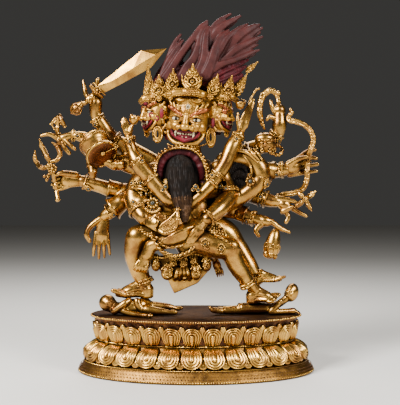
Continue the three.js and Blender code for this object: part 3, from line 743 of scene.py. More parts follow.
fingers = {  # single fingers held out from a closed hand
    "swordFinger": [(-64.4, 128, 3, 1.7), (-66.4, 132, 3, 1.5), (-67, 136, 3.4, 1.2), (-67.8, 139, 4, 0.9)],
    "swordKnuckle": [(-60, 132, 5, 1.4), (-59.6, 136, 5, 1.3), (-59, 139.6, 5, 1.5)],
    "axeFinger": [(-83, 104.6, 6, 1.6), (-88, 107, 4.6, 1.3), (-93, 106, 4, 0.9)],
    "axeLower": [(-81, 102.4, 6, 1.5), (-78.6, 98.6, 5, 1.4), (-76, 95.6, 5, 1.3)],
    "axeLowest": [(-78.6, 103.6, 6.4, 1.4), (-75, 100, 5.4, 1.4), (-72.6, 98, 5.4, 1.1)],
    "bowThumb": [(55, 88.6, 2.4, 2.2), (60.6, 91.8, 1.4, 1.7), (66.4, 93.4, 0.6, 1.1)],
    "bowIndex": [(60, 91, 6, 1.9), (67, 96.6, 7.4, 1.5), (71.4, 97.6, 7, 1.1)],
    "bowMiddle": [(60, 89, 7, 1.9), (68, 92.6, 8.4, 1.5), (72, 92.6, 7.4, 1.2)],
    "bowRing": [(58, 86, 7, 1.9), (67, 88, 8.6, 1.5), (73, 89, 8, 1.1)],
    "bowLittle": [(56, 82.6, 6, 1.7), (65, 84, 7.4, 1.4), (72.4, 84.9, 7, 1)],
    "vajraLong": [(48.6, 68.6, 3, 1.9), (56, 67.4, 1.6, 1.4), (62.6, 65, 0.8, 1)],
    "vajraThumb": [(52, 60.6, 2.4, 1.8), (57.6, 63.2, 1, 1.4), (60, 62.6, 0, 1)],
    "vajraDown": [(53.6, 61, 4, 1.9), (55.4, 57.6, 3, 1.5), (54, 54.2, 2.4, 1.2)],
    "vajraTip": [(57.6, 62.8, 4, 1.9), (62, 60, 3, 1.5), (66, 58, 2.6, 1.2)],
    "bellTop": [(38, 57, 2, 2.2), (45, 54.6, 1, 1.8), (50.4, 50.6, 0.6, 1.6), (56, 48.2, 0.4, 1)],
    "bellLow": [(39, 53, 1.6, 2.2), (36, 49.6, 0.4, 1.7), (37.6, 46, -0.2, 1.2)],
    "hookUp": [(47.4, 120, 7, 1.6), (45.6, 123.4, 5.8, 1.4), (44.6, 126.8, 6, 1)],
    "hookCurl": [(47.4, 116.4, 6, 1.6), (44, 117.4, 4.6, 1.3), (42.6, 115.6, 4.6, 1.1)],
}
openHands = {
    "lowered": {
        "wrist": (-55, 57.4, 5), "knuckles": (-56.6, 46.4, 4.4), "tips": (-56.6, 32, 4.4),
        "thumb": ((-57.4, 56.4, 4), (-63.2, 51.8, 3), (-65.6, 47, 2.4), (-63.8, 42.8, 2.2)), "size": 4.6,
        "spread": 1.35,
    },
    "trident": {
        "wrist": (-68, 79, 6), "knuckles": (-77, 79.4, 4.4), "tips": (-86.4, 75.6, 3),
        "thumb": ((-72, 82.6, 3.6), (-80, 83.6, 1.6), (-85, 82.4, 1)), "size": 4.6, "spread": 0.9,
        "curl": -0.3,
    },
    "rightMain": {
        "wrist": (-33, 57.6, -11), "knuckles": (-25.4, 54, -17.4), "tips": (-19, 57.4, -19),
        "thumb": ((-29, 53, -15.6), (-24, 49.4, -18.6)), "size": 4, "spread": 0.95, "curl": -0.3,
    },
    "leftMain": {
        "wrist": (7, 56.6, -18.4), "knuckles": (1.6, 49.6, -20.8), "tips": (-4.8, 40.8, -20.8),
        "thumb": ((4, 54, -19.6), (-1, 49.6, -21.8), (-3.6, 46, -22)), "size": 3.1, "spread": 0.7,
        "curl": 0.1,
    },
}
palms = [  # place, radii, lean
    ((50.2, 121, 7.4), (3.8, 3.6, 4.2), 0), ((57.6, 87.4, 4.6), (5.4, 3.4, 4.6), -10),
    ((53, 64.6, 3.4), (4.6, 3.2, 3.4), 20), ((41.6, 54.8, 1.6), (4.4, 3, 3.2), 15),
]


def makeArms():
    right, left, fine = bmesh.new(), bmesh.new(), bmesh.new()
    for name in ("sword", "axe", "trident", "drum", "open"):
        limb(right, farArms[name], sides=16)
    for name in ("hook", "bow", "vajra", "bell"):
        limb(left, farArms[name], sides=16)
    limb(left, bentArm, sides=16)
    limb(right, mainArms["right"], sides=18)
    mass(right, seen(-33.2, 65.4, -6.4), (7, 5.6, 5.8))
    limb(left, mainArms["left"], sides=18)
    for joints in fingers.values():
        limb(fine, joints, 3, sides=10)
    for hand in openHands.values():
        openHand(fine, hand)
    swordShaft = seen(-57, 132, 0) - seen(-73, 121.4, 0)
    drumShaft = seen(-64.6, 90.8, 10) - seen(-50.6, 99.4, -5)
    grip(fine, seen(-63, 128.4, 1.2), swordShaft, seen(-59.8, 124, 3.4), 2.9)
    grip(fine, seen(-81.6, 103, 7.4), upward, seen(-75, 105.6, 8), 2.8)
    grip(fine, seen(-57.6, 95.2, 3), drumShaft, seen(-50, 91, 3), 3.4)
    for place, radii, lean in palms:
        mass(fine, seen(*place), radii, lean=lean)
    foot(fine, placed(-29.2, -6, 9.3), placed(-49, -9.4, 9.6), seen(-31.2, 20, -6), 10, forward, 0.26)
    foot(fine, placed(36.8, -0.5, 17.4), placed(53, -3, 18.6), seen(37.2, 22.4, 1), 6.8, forward, 0.26)
    return (
        cast(newPiece("guardian_right_arms", right, fireGilding), 0.8),
        cast(newPiece("guardian_left_arms", left, fireGilding), 0.8),
        cast(newPiece("guardian_hands_and_feet", fine, fireGilding), 0.42, 1),
    )


# The consort, seen from behind
consort = {
    "trunk": [(-3, 42, -11, 10), (-6, 51, -10.4, 7), (-9, 61, -8.4, 5.8), (-9, 72, -6, 6)],
    "leftThigh": [(-2, 44, -11, 8.6), (9, 40.6, -15, 7.6), (20, 38, -17, 6.4)],
    "leftShin": [(20, 39, -17, 6.2), (24.4, 28.4, -15, 5.6), (31, 18, -12.4, 4.2)],
    "rightLeg": [
        (2, 51.4, -11, 6), (-5, 48, -14.6, 5.8), (-12, 45, -16.4, 5.2), (-19, 42.4, -16.6, 4.4),
        (-27, 40, -15, 3.8),
    ],
    "calfRidge": [
        (-2, 51.6, -18.6, 1.2), (-7, 49.6, -20, 1.8), (-13, 46.8, -21, 1.8), (-18.6, 43.6, -20.4, 1.2),
    ],
    "rightShin": [(-27, 40, -15, 3.8), (-29.4, 34, -14.6, 3.6)],
    "rightArm": [
        (-10, 66, -7, 4.8), (-15.4, 67, -9.4, 4.8), (-20, 71.4, -9.6, 4.7), (-26, 78.6, -8.8, 4.7),
        (-34.6, 89.4, -7, 5), (-38.4, 97, -6, 3.4), (-40.2, 105, -5, 2.8),
    ],
    "leftArm": [
        (-7, 62, -8, 4), (-2, 66, -9.4, 3.8), (4, 71.4, -9.6, 3.6), (9.4, 77.6, -8.6, 4),
        (17, 88.4, -6, 4.4), (21.6, 99, -4, 4.6), (26, 107, -3, 3.2),
    ],
    "hands": [
        {"wrist": (-40.2, 104.6, -5), "knuckles": (-40.8, 109, -5), "tips": (-44, 117, -5),
         "thumb": ((-39.6, 108, -6), (-38, 112.6, -6)), "size": 2.9, "spread": 0.7},
        {"wrist": (26, 107.6, -3), "knuckles": (28.8, 114, -3), "tips": (34.6, 128.6, -3),
         "thumb": ((25.8, 110, -4), (25, 115, -4), (25.2, 119.6, -4)), "size": 3.1, "spread": 0.5},
    ],
}


def makeConsort():
    bm, fine = bmesh.new(), bmesh.new()
    limb(bm, consort["trunk"], flat=0.8, sides=24)
    for part in ("leftThigh", "leftShin", "rightLeg", "calfRidge", "rightShin", "rightArm", "leftArm"):
        limb(bm, consort[part], sides=18)
    for hand in consort["hands"]:
        openHand(fine, hand)
    mass(bm, seen(20.6, 38.6, -18), (6.2, 5, 6))  # knee
    mass(bm, seen(-9.6, 85.6, -8), (6.6, 6, 8.6))  # head under the hair
    foot(fine, placed(33, -10.5, 6.9), placed(48, -14, 8), seen(31.6, 18.6, -12), 8.8, -forward, 0.04, 0.5)
    heel, toe = seen(-28.4, 38.4, -15.6), seen(-33.6, 25.4, -14.6)
    aside = seen(-30, 30, -15) - seen(-33, 31, -15)
    line = [heel, heel.lerp(toe, 0.5), heel.lerp(toe, 0.8)]
    bar(fine, line, (2.8, 3.4, 3.8), sides=14, flat=0.6)
    for i in range(5):
        start = heel.lerp(toe, 0.66) + aside * (i - 2) * 0.46 + forward * 0.8 * mm
        tip = heel.lerp(toe, 1.08 - 0.03 * abs(i - 1)) + aside * (i - 2) * 0.58
        line = [start, start.lerp(tip, 0.6) + forward * 1.2 * mm, tip]
        bar(fine, line, (0.9, 0.95, 0.85), 3, sides=10)
    return (
        cast(newPiece("consort_body", bm, fireGilding), 0.75),
        cast(newPiece("consort_hands_and_feet", fine, fireGilding), 0.4, 1),
    )


guardianPieces = [makeTrunk(), *makeArms()]
consortPieces = makeConsort()
report("bodies", *guardianPieces, *consortPieces)

# The fallen figures
fallen = {
    "left": {
        "trunk": [(-50, -9.6, 4.4, 3.2), (-44, -9.8, 4, 3.5), (-36, -10, 3.6, 3.2), (-29, -9.6, 3.8, 3.6)],
        "nearArm": [(-47.6, -13, 2.6, 2.3), (-42, -13.6, 6.8, 2.2), (-39.2, -12, 8.6, 2)],
        "forearm": [(-34.4, -12, 8.2, 2.2), (-33, -12.4, 5, 2.1), (-31, -12.6, 2, 1.9)],
        "hip": [(-29.6, -7, 5.6, 4), (-29.6, -10, 2.6, 3.6)],
        "nearLeg": [(-29, -13, 3.4, 3), (-22, -14, 2.8, 2.2), (-15.6, -14, 2, 1.5), (-12, -14, 2, 1.5)],
        "farLeg": [(-28, -7, 5, 3), (-18, -6, 4.4, 2.2), (-11, -5, 3, 1.4), (-8.6, -5, 3.4, 1.1)],
    },
    "right": {
        "trunk": [(27, -8, 3.6, 3.4), (36, -8, 3.7, 3.6), (45, -8, 3.6, 3.2)],
        "neck": [(44, -7.4, 3.6, 2.8), (50, -5.4, 6.4, 2.2), (55, -4.4, 10, 2.2)],
        "leg": [(29, -8, 3.2, 3.1), (22, -9, 2.8, 2.6), (13, -10, 2.6, 2.1)],
        "foot": [(15, -11.4, 2.4, 1.9), (10.4, -12, 3, 1.8), (8.4, -12, 4.4, 1.2)],
        "raisedArm": [(44, -12, 2.4, 2), (47.6, -11.6, 6, 1.8), (49.8, -11, 8.4, 1.5)],
        "lowArm": [(44, -12, 2, 1.9), (53, -10, 2, 1.8), (57.6, -8.4, 2.1, 2)],
    },
}


def makeFallen(side, head, radii, lean, gaze):
    bm = bmesh.new()
    for joints in fallen[side].values():
        lying(bm, joints, sides=14)
    mass(bm, head, radii, lean=lean)
    level = gaze.cross(upward).normalized()

    def at(out, aside, up):  # out is a share of the head's depth, aside and up are in mm
        return head + (gaze * radii[1] * out + level * aside + upward * up) * mm

    mass(bm, at(1.02, 0, 0), (0.7, 0.7, 1), detail=2)  # the nose
    for turn in (-1, 1):  # eye and cheek
        mass(bm, at(0.86, 1.5 * turn, 0.9), (0.8, 0.8, 0.6), detail=2)
        mass(bm, at(0.6, 2.2 * turn, -0.8), (1.1, 1.1, 1.2), detail=2)
    mass(bm, at(0.8, 0, -2), (1.5, 1.2, 0.8), detail=2)  # the mouth
    mass(bm, head + (upward * 0.8 - gaze * 1.4) * mm, [radius + 0.5 for radius in radii], lean=lean)  # hair
    if side == "left":
        mass(bm, placed(-48, -9.4, 7.2), (1.6, 1.6, 1.8))
        thrownOut = [(-45, -11, 3, 1.9), (-38, -17, 1.8, 1.6), (-31, -22, 1.5, 1.3), (-27.4, -24, 1.5, 1.1)]
        lying(bm, thrownOut)
        mass(bm, placed(-26, -24.6, 1.5), (1.9, 1.5, 1.3))
        mass(bm, placed(-38.4, -8.4, 5.6), (5.6, 4.6, 3.8))
        mass(bm, placed(-32, -8.4, 6), (4, 4.6, 3.8))
        hand = placed(-31, -12.8, 1.4)
        spread = [(-1, 0), (-0.35, -0.5), (0.35, -0.5), (1, 0)]
    else:
        hand = placed(58.6, -8.6, 1.6)
        spread = [(0.6, -0.9), (1, -0.3), (1, 0.4), (0.6, 1)]
        for x, z in ((20, 5), (25, 6.6), (31, 7)):
            lying(bm, [(x, -11, z - 3, 0.6), (x + 0.4, -9, z, 0.6), (x, -6, z - 1.4, 0.6)], sides=8)
    for x, y in spread:
        tip = hand + Vector((x * 2.6, y * 2.6, -0.6)) * mm
        bar(bm, [hand, hand.lerp(tip, 0.6) + upward * 0.5 * mm, tip], (0.8, 0.7, 0.5), 3, sides=8)
    return cast(newPiece(f"fallen_{side}", bm, fireGilding), 0.42, 1)


fallenPieces = [
    makeFallen("left", placed(-51.4, -9.4, 6.4), (4.6, 4, 4.5), 0, Vector((0.55, -0.8, 0.2)).normalized()),
    makeFallen("right", placed(56.2, -4.4, 12), (3.6, 3.4, 5.2), 14, Vector((-0.6, -0.75, 0.3)).normalized()),
]
report("fallen figures", *fallenPieces)
for piece in guardianPieces:
    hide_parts("guardian_figure")
for piece in consortPieces:
    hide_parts("consort_figure")
for piece, side in zip(fallenPieces, ("left", "right")):
    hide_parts(f"fallen_figure_{side}")

# Faces. Places are in mm from the middle of the head, before it is turned and sized
faceForm = {
    "brow": [(10.2, -6.4, 7.6, 1), (6.6, -9.6, 4.8, 1.3), (2.2, -11.4, 1.8, 1.2)],
    "browCurls": [
        [(5, -10.2, 5.6, 0.8), (6, -10.2, 7.8, 0.6), (5, -10, 9, 0.3)],
        [(7.4, -8.8, 7, 0.8), (8.8, -8.4, 9.2, 0.6), (8, -8.2, 10.6, 0.3)],
        [(9.6, -6.6, 8.4, 0.8), (11.4, -6, 10, 0.6), (11, -5.8, 11.6, 0.3)],
    ],
    "browRed": [(11.2, -6.6, 6.8, 1.1), (8.6, -9.2, 5.6, 1.5), (5.4, -11, 3.5, 1.4), (2.6, -12, 1.6, 0.9)],
    "upperLid": [(2.4, -10.8, 0, 0.6), (5.8, -11.9, 1.9, 0.9), (9.8, -8.6, 1, 0.6)],
    "lowerLid": [(2.6, -10.9, -0.8, 0.6), (5.8, -11.8, -2.5, 1.1), (9.8, -8.8, -1, 0.7)],
    "bag": [(3.2, -10.6, -2.8, 0.9), (6.4, -11.3, -4.3, 1.5), (9.8, -8, -2.6, 0.9)],
    "moustache": [(1.6, -12, -6, 0.9), (5.4, -11.2, -6.4, 1.1), (9.8, -8, -4.6, 0.6)],
    "upperLip": [(8.8, -7.8, -5.4, 0.6), (5, -10.9, -7.2, 0.8), (0, -12, -7.6, 0.8)],
    "lowerLip": [(8.8, -7.8, -5.4, 0.6), (6.8, -9.6, -9.8, 1.1), (0, -11.2, -12.8, 1.4)],
    "jaw": [(11, -5.2, -6.4, 1), (9.4, -7.4, -11, 1.3), (5.6, -9, -14.2, 1.4), (0, -9.6, -15.2, 1.5)],
    "fang": [(5.2, -11.2, -7.8, 0.7), (5.4, -11.6, -9.4, 0.55), (5, -11.4, -10.8, 0.2)],
    "curl": [(8.6, -7, 13.6, 0.5), (6.6, -9.4, 10.8, 0.7), (3, -10, 11, 0.7), (1.4, -9, 13.2, 0.5)],
    "innerCurl": [(7.2, -8, 13.4, 0.4), (5.6, -9.4, 12.2, 0.6), (3.4, -9.4, 12.6, 0.5)],
}


def makeFace(gold, red, glaze, pale, dark, origin, turn, size, lean):
    turnBy = Matrix.Rotation(math.radians(turn), 3, "Z") @ Matrix.Rotation(math.radians(lean), 3, "Y")

    def at(x, y, z):
        return origin + turnBy @ Vector((x, y, z)) * size * mm

    def blob(bm, place, radii, **options):
        mass(bm, at(*place), [radius * size for radius in radii], lean=lean, turn=turn, **options)

    def stroke(bm, joints, side=1):
        points = [at(x * side, y, z) for x, y, z, _ in joints]
        bar(bm, points, [joint[3] * size for joint in joints], sides=10, facing=turnBy @ forward)

    blob(gold, (0, 0, 0), (12.4, 11, 14.6))  # skull
    blob(gold, (0, -2, -8), (10.2, 8.4, 7.6))  # lower face
    blob(gold, (0, -4.6, 10.6), (10, 5, 4.2))  # forehead
    blob(gold, (0, -7.4, -14), (4.6, 3, 2.2))  # chin
    blob(gold, (0, -14, -5.1), (3, 2.5, 2.3))  # tip of the nose
    stroke(gold, [(0, -10.6, 4, 1.6), (0, -12.2, 0.6, 1.8), (0, -13.2, -2.8, 2.1)])
    for z in (0.4, 2):  # folds over the nose
        stroke(gold, [(-2.2, -11.4, z, 0.5), (0, -13.4, z + 0.8, 0.6), (2.2, -11.4, z, 0.5)])
    for side in (-1, 1):
        blob(gold, (3.7 * side, -12.7, -5.3), (2.2, 2, 1.8))  # wing of the nose
        blob(gold, (3.2 * side, -10, -1.6), (1.5, 1.8, 1.9))
        blob(gold, (8.4 * side, -7, -4.2), (3.6, 3.4, 3.4))  # cheek
        for part in ("brow", "upperLid", "lowerLid", "bag", "moustache", "jaw", "curl", "innerCurl"):
            stroke(gold, faceForm[part], side)
        for joints in faceForm["browCurls"]:
            stroke(gold, joints, side)
        stroke(glaze, faceForm["browRed"], side)
        for part in ("upperLip", "lowerLip"):
            stroke(red, faceForm[part], side)
        stroke(pale, faceForm["fang"], side)
        blob(pale, (6 * side, -9.9, -0.3), (2.5, 1.7, 1.5))  # eye
        blob(dark, (6 * side, -11.1, -0.3), (1, 0.7, 1), detail=2)  # pupil
        # the nostrils are lamp-black blobs of painted shade
        blob(dark, (2.7 * side, -14, -6.9), (0.8, 0.8, 0.5), detail=2)  # nostril
        for x in (0.8, 2.4, 3.8):  # upper teeth
            blob(pale, (x * side, -11.3 + 0.1 * x, -8.8), (0.7, 0.5, 0.7), detail=2)
        for x in (1.2, 3.2):  # lower teeth
            blob(pale, (x * side, -10.8 + 0.1 * x, -10.9), (0.6, 0.5, 0.45), detail=2)
    blob(red, (0, -8.6, -9.8), (7.6, 2.3, 3.2))  # the open mouth
    blob(pale, (0.4, -10.8, 7.2), (1.3, 0.7, 1.8), detail=2)  # the third eye
    blob(dark, (0.4, -11.4, 7.2), (0.5, 0.4, 0.9), detail=2)
    for side in (-1, 1):
        stroke(gold, [(0.4, -10.9, 9.8, 0.4), (0.4 + 1.9 * side, -10.9, 7.3, 0.5), (0.4, -11.1, 4.8, 0.4)])


def rosette(metal, stones, centre, facing, radius, petals=8):
    aside, outward = across(facing)
    profile = [(radius * 0.95, 0), (radius, 0.6), (radius * 0.7, 1)]
    turned(metal, profile, centre - facing * 0.7 * mm, centre + facing * 0.5 * mm, 18)
    for i in range(petals):
        turn = 2 * math.pi * i / petals
        place = centre + around(aside, outward, turn) * radius * 0.78 * mm + facing * 0.4 * mm
        bead(metal, place, radius * 0.3)
    if stones:
        mass(stones, centre + facing * 0.7 * mm, (radius * 0.42,) * 3, detail=2)
    else:
        bead(metal, centre + facing * 0.7 * mm, radius * 0.42)


def crownLeaf(metal, stones, root, tip, halfWidth, facing=forward):
    rise = tip - root
    aside, outward = across(rise, facing)
    width = halfWidth * mm

    def at(share, side, out=0.0):  # side and out are shares of the half width
        return root + rise * share + (aside * side + outward * out) * width

    shares = (0, 0.14, 0.32, 0.5, 0.66, 0.82, 0.94, 1)
    sizes = (0.42, 0.72, 0.86, 0.72, 0.5, 0.28, 0.16, 0.08)
    tube(
        metal, [at(share, 0) for share in shares], [width * size for size in sizes], sides=14, flat=0.4,
        facing=facing,
    )
    for side in (-1, 1):
        for share, reach, size in (
            (0.12, 0.74, 0.2), (0.28, 0.9, 0.21), (0.44, 0.84, 0.18), (0.58, 0.64, 0.15),
            (0.71, 0.44, 0.12),
        ):
            joints = [
                at(share - 0.08, side * reach * 0.5, 0.2), at(share, side * reach, 0.16),
                at(share + 0.11, side * reach * 0.98, 0.1),
            ]
            tube(metal, *smoothLine(joints, [width * size * part for part in (0.7, 1, 0.35)], 3), sides=8)
        swirl = [
            at(0.1, side * 0.14, 0.4), at(0.2, side * 0.56, 0.36), at(0.38, side * 0.52, 0.36),
            at(0.44, side * 0.16, 0.4),
        ]
        tube(metal, *smoothLine(swirl, [width * 0.12] * 4, 3), sides=7)
        vein = [
            at(0.46, side * 0.1, 0.36), at(0.56, side * 0.34, 0.26), at(0.7, side * 0.22, 0.2),
            at(0.84, side * 0.04, 0.16),
        ]
        tube(metal, *smoothLine(vein, [width * 0.1] * 4, 3), sides=7)
    seat = at(0.27, 0, 0.36)
    if halfWidth > 3.5:
        mass(stones, seat, (halfWidth * 0.13,) * 3, detail=2)
        hoop(metal, seat, facing, halfWidth * 0.2, 0.3, 14)
    else:
        bead(metal, seat, halfWidth * 0.2)
    for share in (0.52, 0.64, 0.76):
        bead(metal, at(share, 0, 0.26), halfWidth * 0.14)
    bead(metal, tip, max(0.55, halfWidth * 0.16))


crown = {
    "band": [
        (-17.6, 130.8, -4, 1.6), (-11.6, 132, -9, 1.8), (-4.9, 132.3, -10.8, 1.9), (1.6, 131.4, -10, 1.8),
        (8, 129, -4, 1.6),
    ],
    "rightBand": [
        (-33, 126.6, 3, 1.4), (-30, 128.6, -1.6, 1.5), (-24, 129.8, -3, 1.5), (-18, 130.2, -1, 1.4),
    ],
    "leftBand": [(9.6, 128.6, 0, 1.4), (15, 129.4, -3, 1.5), (21, 129.4, -1.4, 1.5), (24, 127.6, 3, 1.4)],
    # root x and z, tip x and z, half width, depth
    "leaves": [
        (-2.4, 134.6, -1.8, 148.6, 4.8, -10.6), (-14.4, 133.2, -13.6, 146, 3.6, -7.4),
        (9, 130.6, 13.2, 142.7, 3.6, -5.4), (30.4, 144.6, 37, 150.3, 1.7, 2.4),
        (-28.2, 129.4, -28.6, 148.3, 2.4, -2), (-22, 129.6, -22.2, 142.4, 4, -4),
        (-17.6, 130, -18, 137.6, 1.8, -4.6), (14, 129.6, 15, 137.4, 2, -3.6),
        (18.6, 130, 21.6, 142, 3.1, -3), (23.6, 130, 30.6, 143, 2.7, 1),
        (-25.6, 129, -26, 138.6, 1.8, -3.8), (-29.8, 127.6, -30.6, 137, 1.5, 1),
    ],
    "horns": [
        [(-5.4, 134.6, -10.8, 0.9), (-7.6, 137.6, -10.8, 0.8), (-8.5, 142.6, -10.4, 0.3)],
        [(0.6, 134.2, -10.8, 0.9), (2.6, 136.8, -10.8, 0.8), (3.4, 141.2, -10.4, 0.3)],
        [(-25, 129.6, -3.8, 0.8), (-26.6, 133, -3.8, 0.7), (-26, 137, -3.6, 0.3)],
        [(-19, 129.8, -4, 0.8), (-17, 132.6, -4, 0.7), (-19.4, 136.2, -4, 0.3)],
        [(20.6, 129.8, -2.4, 0.7), (23.4, 132, -2, 0.7), (23.4, 136, -2, 0.3)],
    ],
    # x, z, depth and the radius, or half the width and height
    "rosettes": [
        (-15.4, 131.2, -8.4, 1.9), (-15.2, 128.6, -8, 1.3), (-4.2, 132, -12.8, 1.7),
        (-1, 131.8, -12.6, 1.8), (8.6, 129.4, -7, 1.9), (-28.4, 127.6, -3, 1.7), (-22, 128.4, -4.8, 1.7),
        (18.4, 128.4, -4.2, 1.7),
    ],
    "earrings": [
        (-23, 107, -2.6, 3.3, 5.4), (8.8, 105, -2.6, 3.1, 6.2), (-29.4, 108, 4, 1.6, 3),
        (18.4, 108, 4, 1.6, 3),
    ],
}
heads = {
    # middle, turn, size, lean
    "faces": [((-4.6, 115, 1), -6, 1, 6), ((-23, 119.6, 5), -64, 0.74, 0), ((13, 119, 5), 62, 0.7, 0)],
    "red": [  # the ears and the red between the faces: place, radii
        ((-20.6, 119.6, -4.6), (1.2, 1.2, 3.2)), ((10.2, 113.8, -3.4), (1.1, 1.2, 3.2)),
        ((-29.2, 125.6, 0), (2.6, 2.4, 2)), ((-17.2, 105.4, 1), (1.6, 1.4, 2)),
        ((16.6, 113, 0), (1, 1.2, 1.8)),
    ],
}


def addHeads(gold):
    for side, x in ((-1, -17.8), (1, 9.4)):  # beard and hair curls between the faces
        for k in range(13):
            height = 126 - k * 1.5
            place = (x + side * (1.2 + 1.2 * math.sin(k * 1.9)), height, -3.4 + 0.12 * k)
            mass(gold, seen(*place), (1.2, 1.1, 1), detail=2)
    mass(gold, seen(-4.8, 121, 8), (22, 8, 12))
    limb(gold, [(-5, 94, 5, 7.4), (-5, 104, 3, 7.2)], sides=20)
    for side, x in ((-1, -20.6), (1, 9.6)):  # long pierced ears
        joints = [(x, 119, 1, 1.2), (x + side, 114, 0, 1.5), (x + side * 0.6, 109, -1.4, 1.1)]
        limb(gold, joints, sides=10, flat=0.7)


def addCrowns(metal, stones, dark):
    for name in ("band", "rightBand", "leftBand"):
        limb(metal, [(x, z, depth, radius + 0.4) for x, z, depth, radius in crown[name]], flat=0.8, sides=12)
        line, radii = smoothLine(*drawn(crown[name]), 6)
        for rise in (-1, 1):
            edge = [point + (upward * rise * 2 + forward * 1.1) * mm for point in line]
            beads(metal, edge, 0.42, 1)
        for rise in (-1, -0.1, 0.9):  # the grained band
            beads(metal, [point + (upward * rise + forward * 1.35) * mm for point in line], 0.36, 0.9)
    for rootX, rootZ, tipX, tipZ, halfWidth, depth in crown["leaves"]:
        crownLeaf(metal, stones, seen(rootX, rootZ, depth), seen(tipX, tipZ, depth), halfWidth)
    for joints in crown["horns"]:
        limb(metal, joints, sides=8)
    for x, z, depth, radius in crown["rosettes"]:
        rosette(metal, None, seen(x, z, depth), forward, radius)
    for x, z, depth, halfWidth, halfHeight in crown["earrings"]:
        centre, narrow = seen(x, z, depth), halfWidth / halfHeight
        mass(metal, centre, (halfWidth, 1.3, halfHeight))
        hoop(metal, centre + forward * 0.9 * mm, forward, halfHeight * 0.82, 0.5, 28, narrow, rightward)
        mass(dark, centre + forward * 1.1 * mm, (halfWidth * 0.24, 0.5, halfHeight * 0.42), detail=2)
        hoop(metal, centre + forward * 1.2 * mm, forward, halfHeight * 0.48, 0.3, 20, narrow, rightward)


def makeHeads():
    gold, red, glaze, pale, dark, metal, stones = [bmesh.new() for _ in range(7)]
    for place, turn, size, lean in heads["faces"]:
        makeFace(gold, red, glaze, pale, dark, seen(*place), turn, size, lean)
    addHeads(gold)
    skin = cast(newPiece("guardian_heads", gold, coldGold), 0.46, 1)
    addCrowns(metal, stones, dark)
    for place, radii in heads["red"]:
        mass(red, seen(*place), radii)
    mass(glaze, seen(17.2, 120.6, -3.4), (1.6, 1.4, 1.9))
    for x, z in ((-27, 118.6), (-23.6, 116.4)):
        hoop(red, seen(x, z, -4.6), forward, 1.1, 0.5, 14)
        mass(metal, seen(x, z, -4.4), (0.8, 0.8, 0.8), detail=2)
    return [
        skin,
        newPiece("face_red", red, crimsonPaint),
        newPiece("face_red_glaze", glaze, redGlaze),
        newPiece("face_eyes_and_teeth", pale, palePaint),
        newPiece("face_pupils_and_nostril_shade", dark, hairPaint),
        newPiece("crown", metal, coldGold),
        newPiece("crown_stones", stones, stoneGlass),
    ]


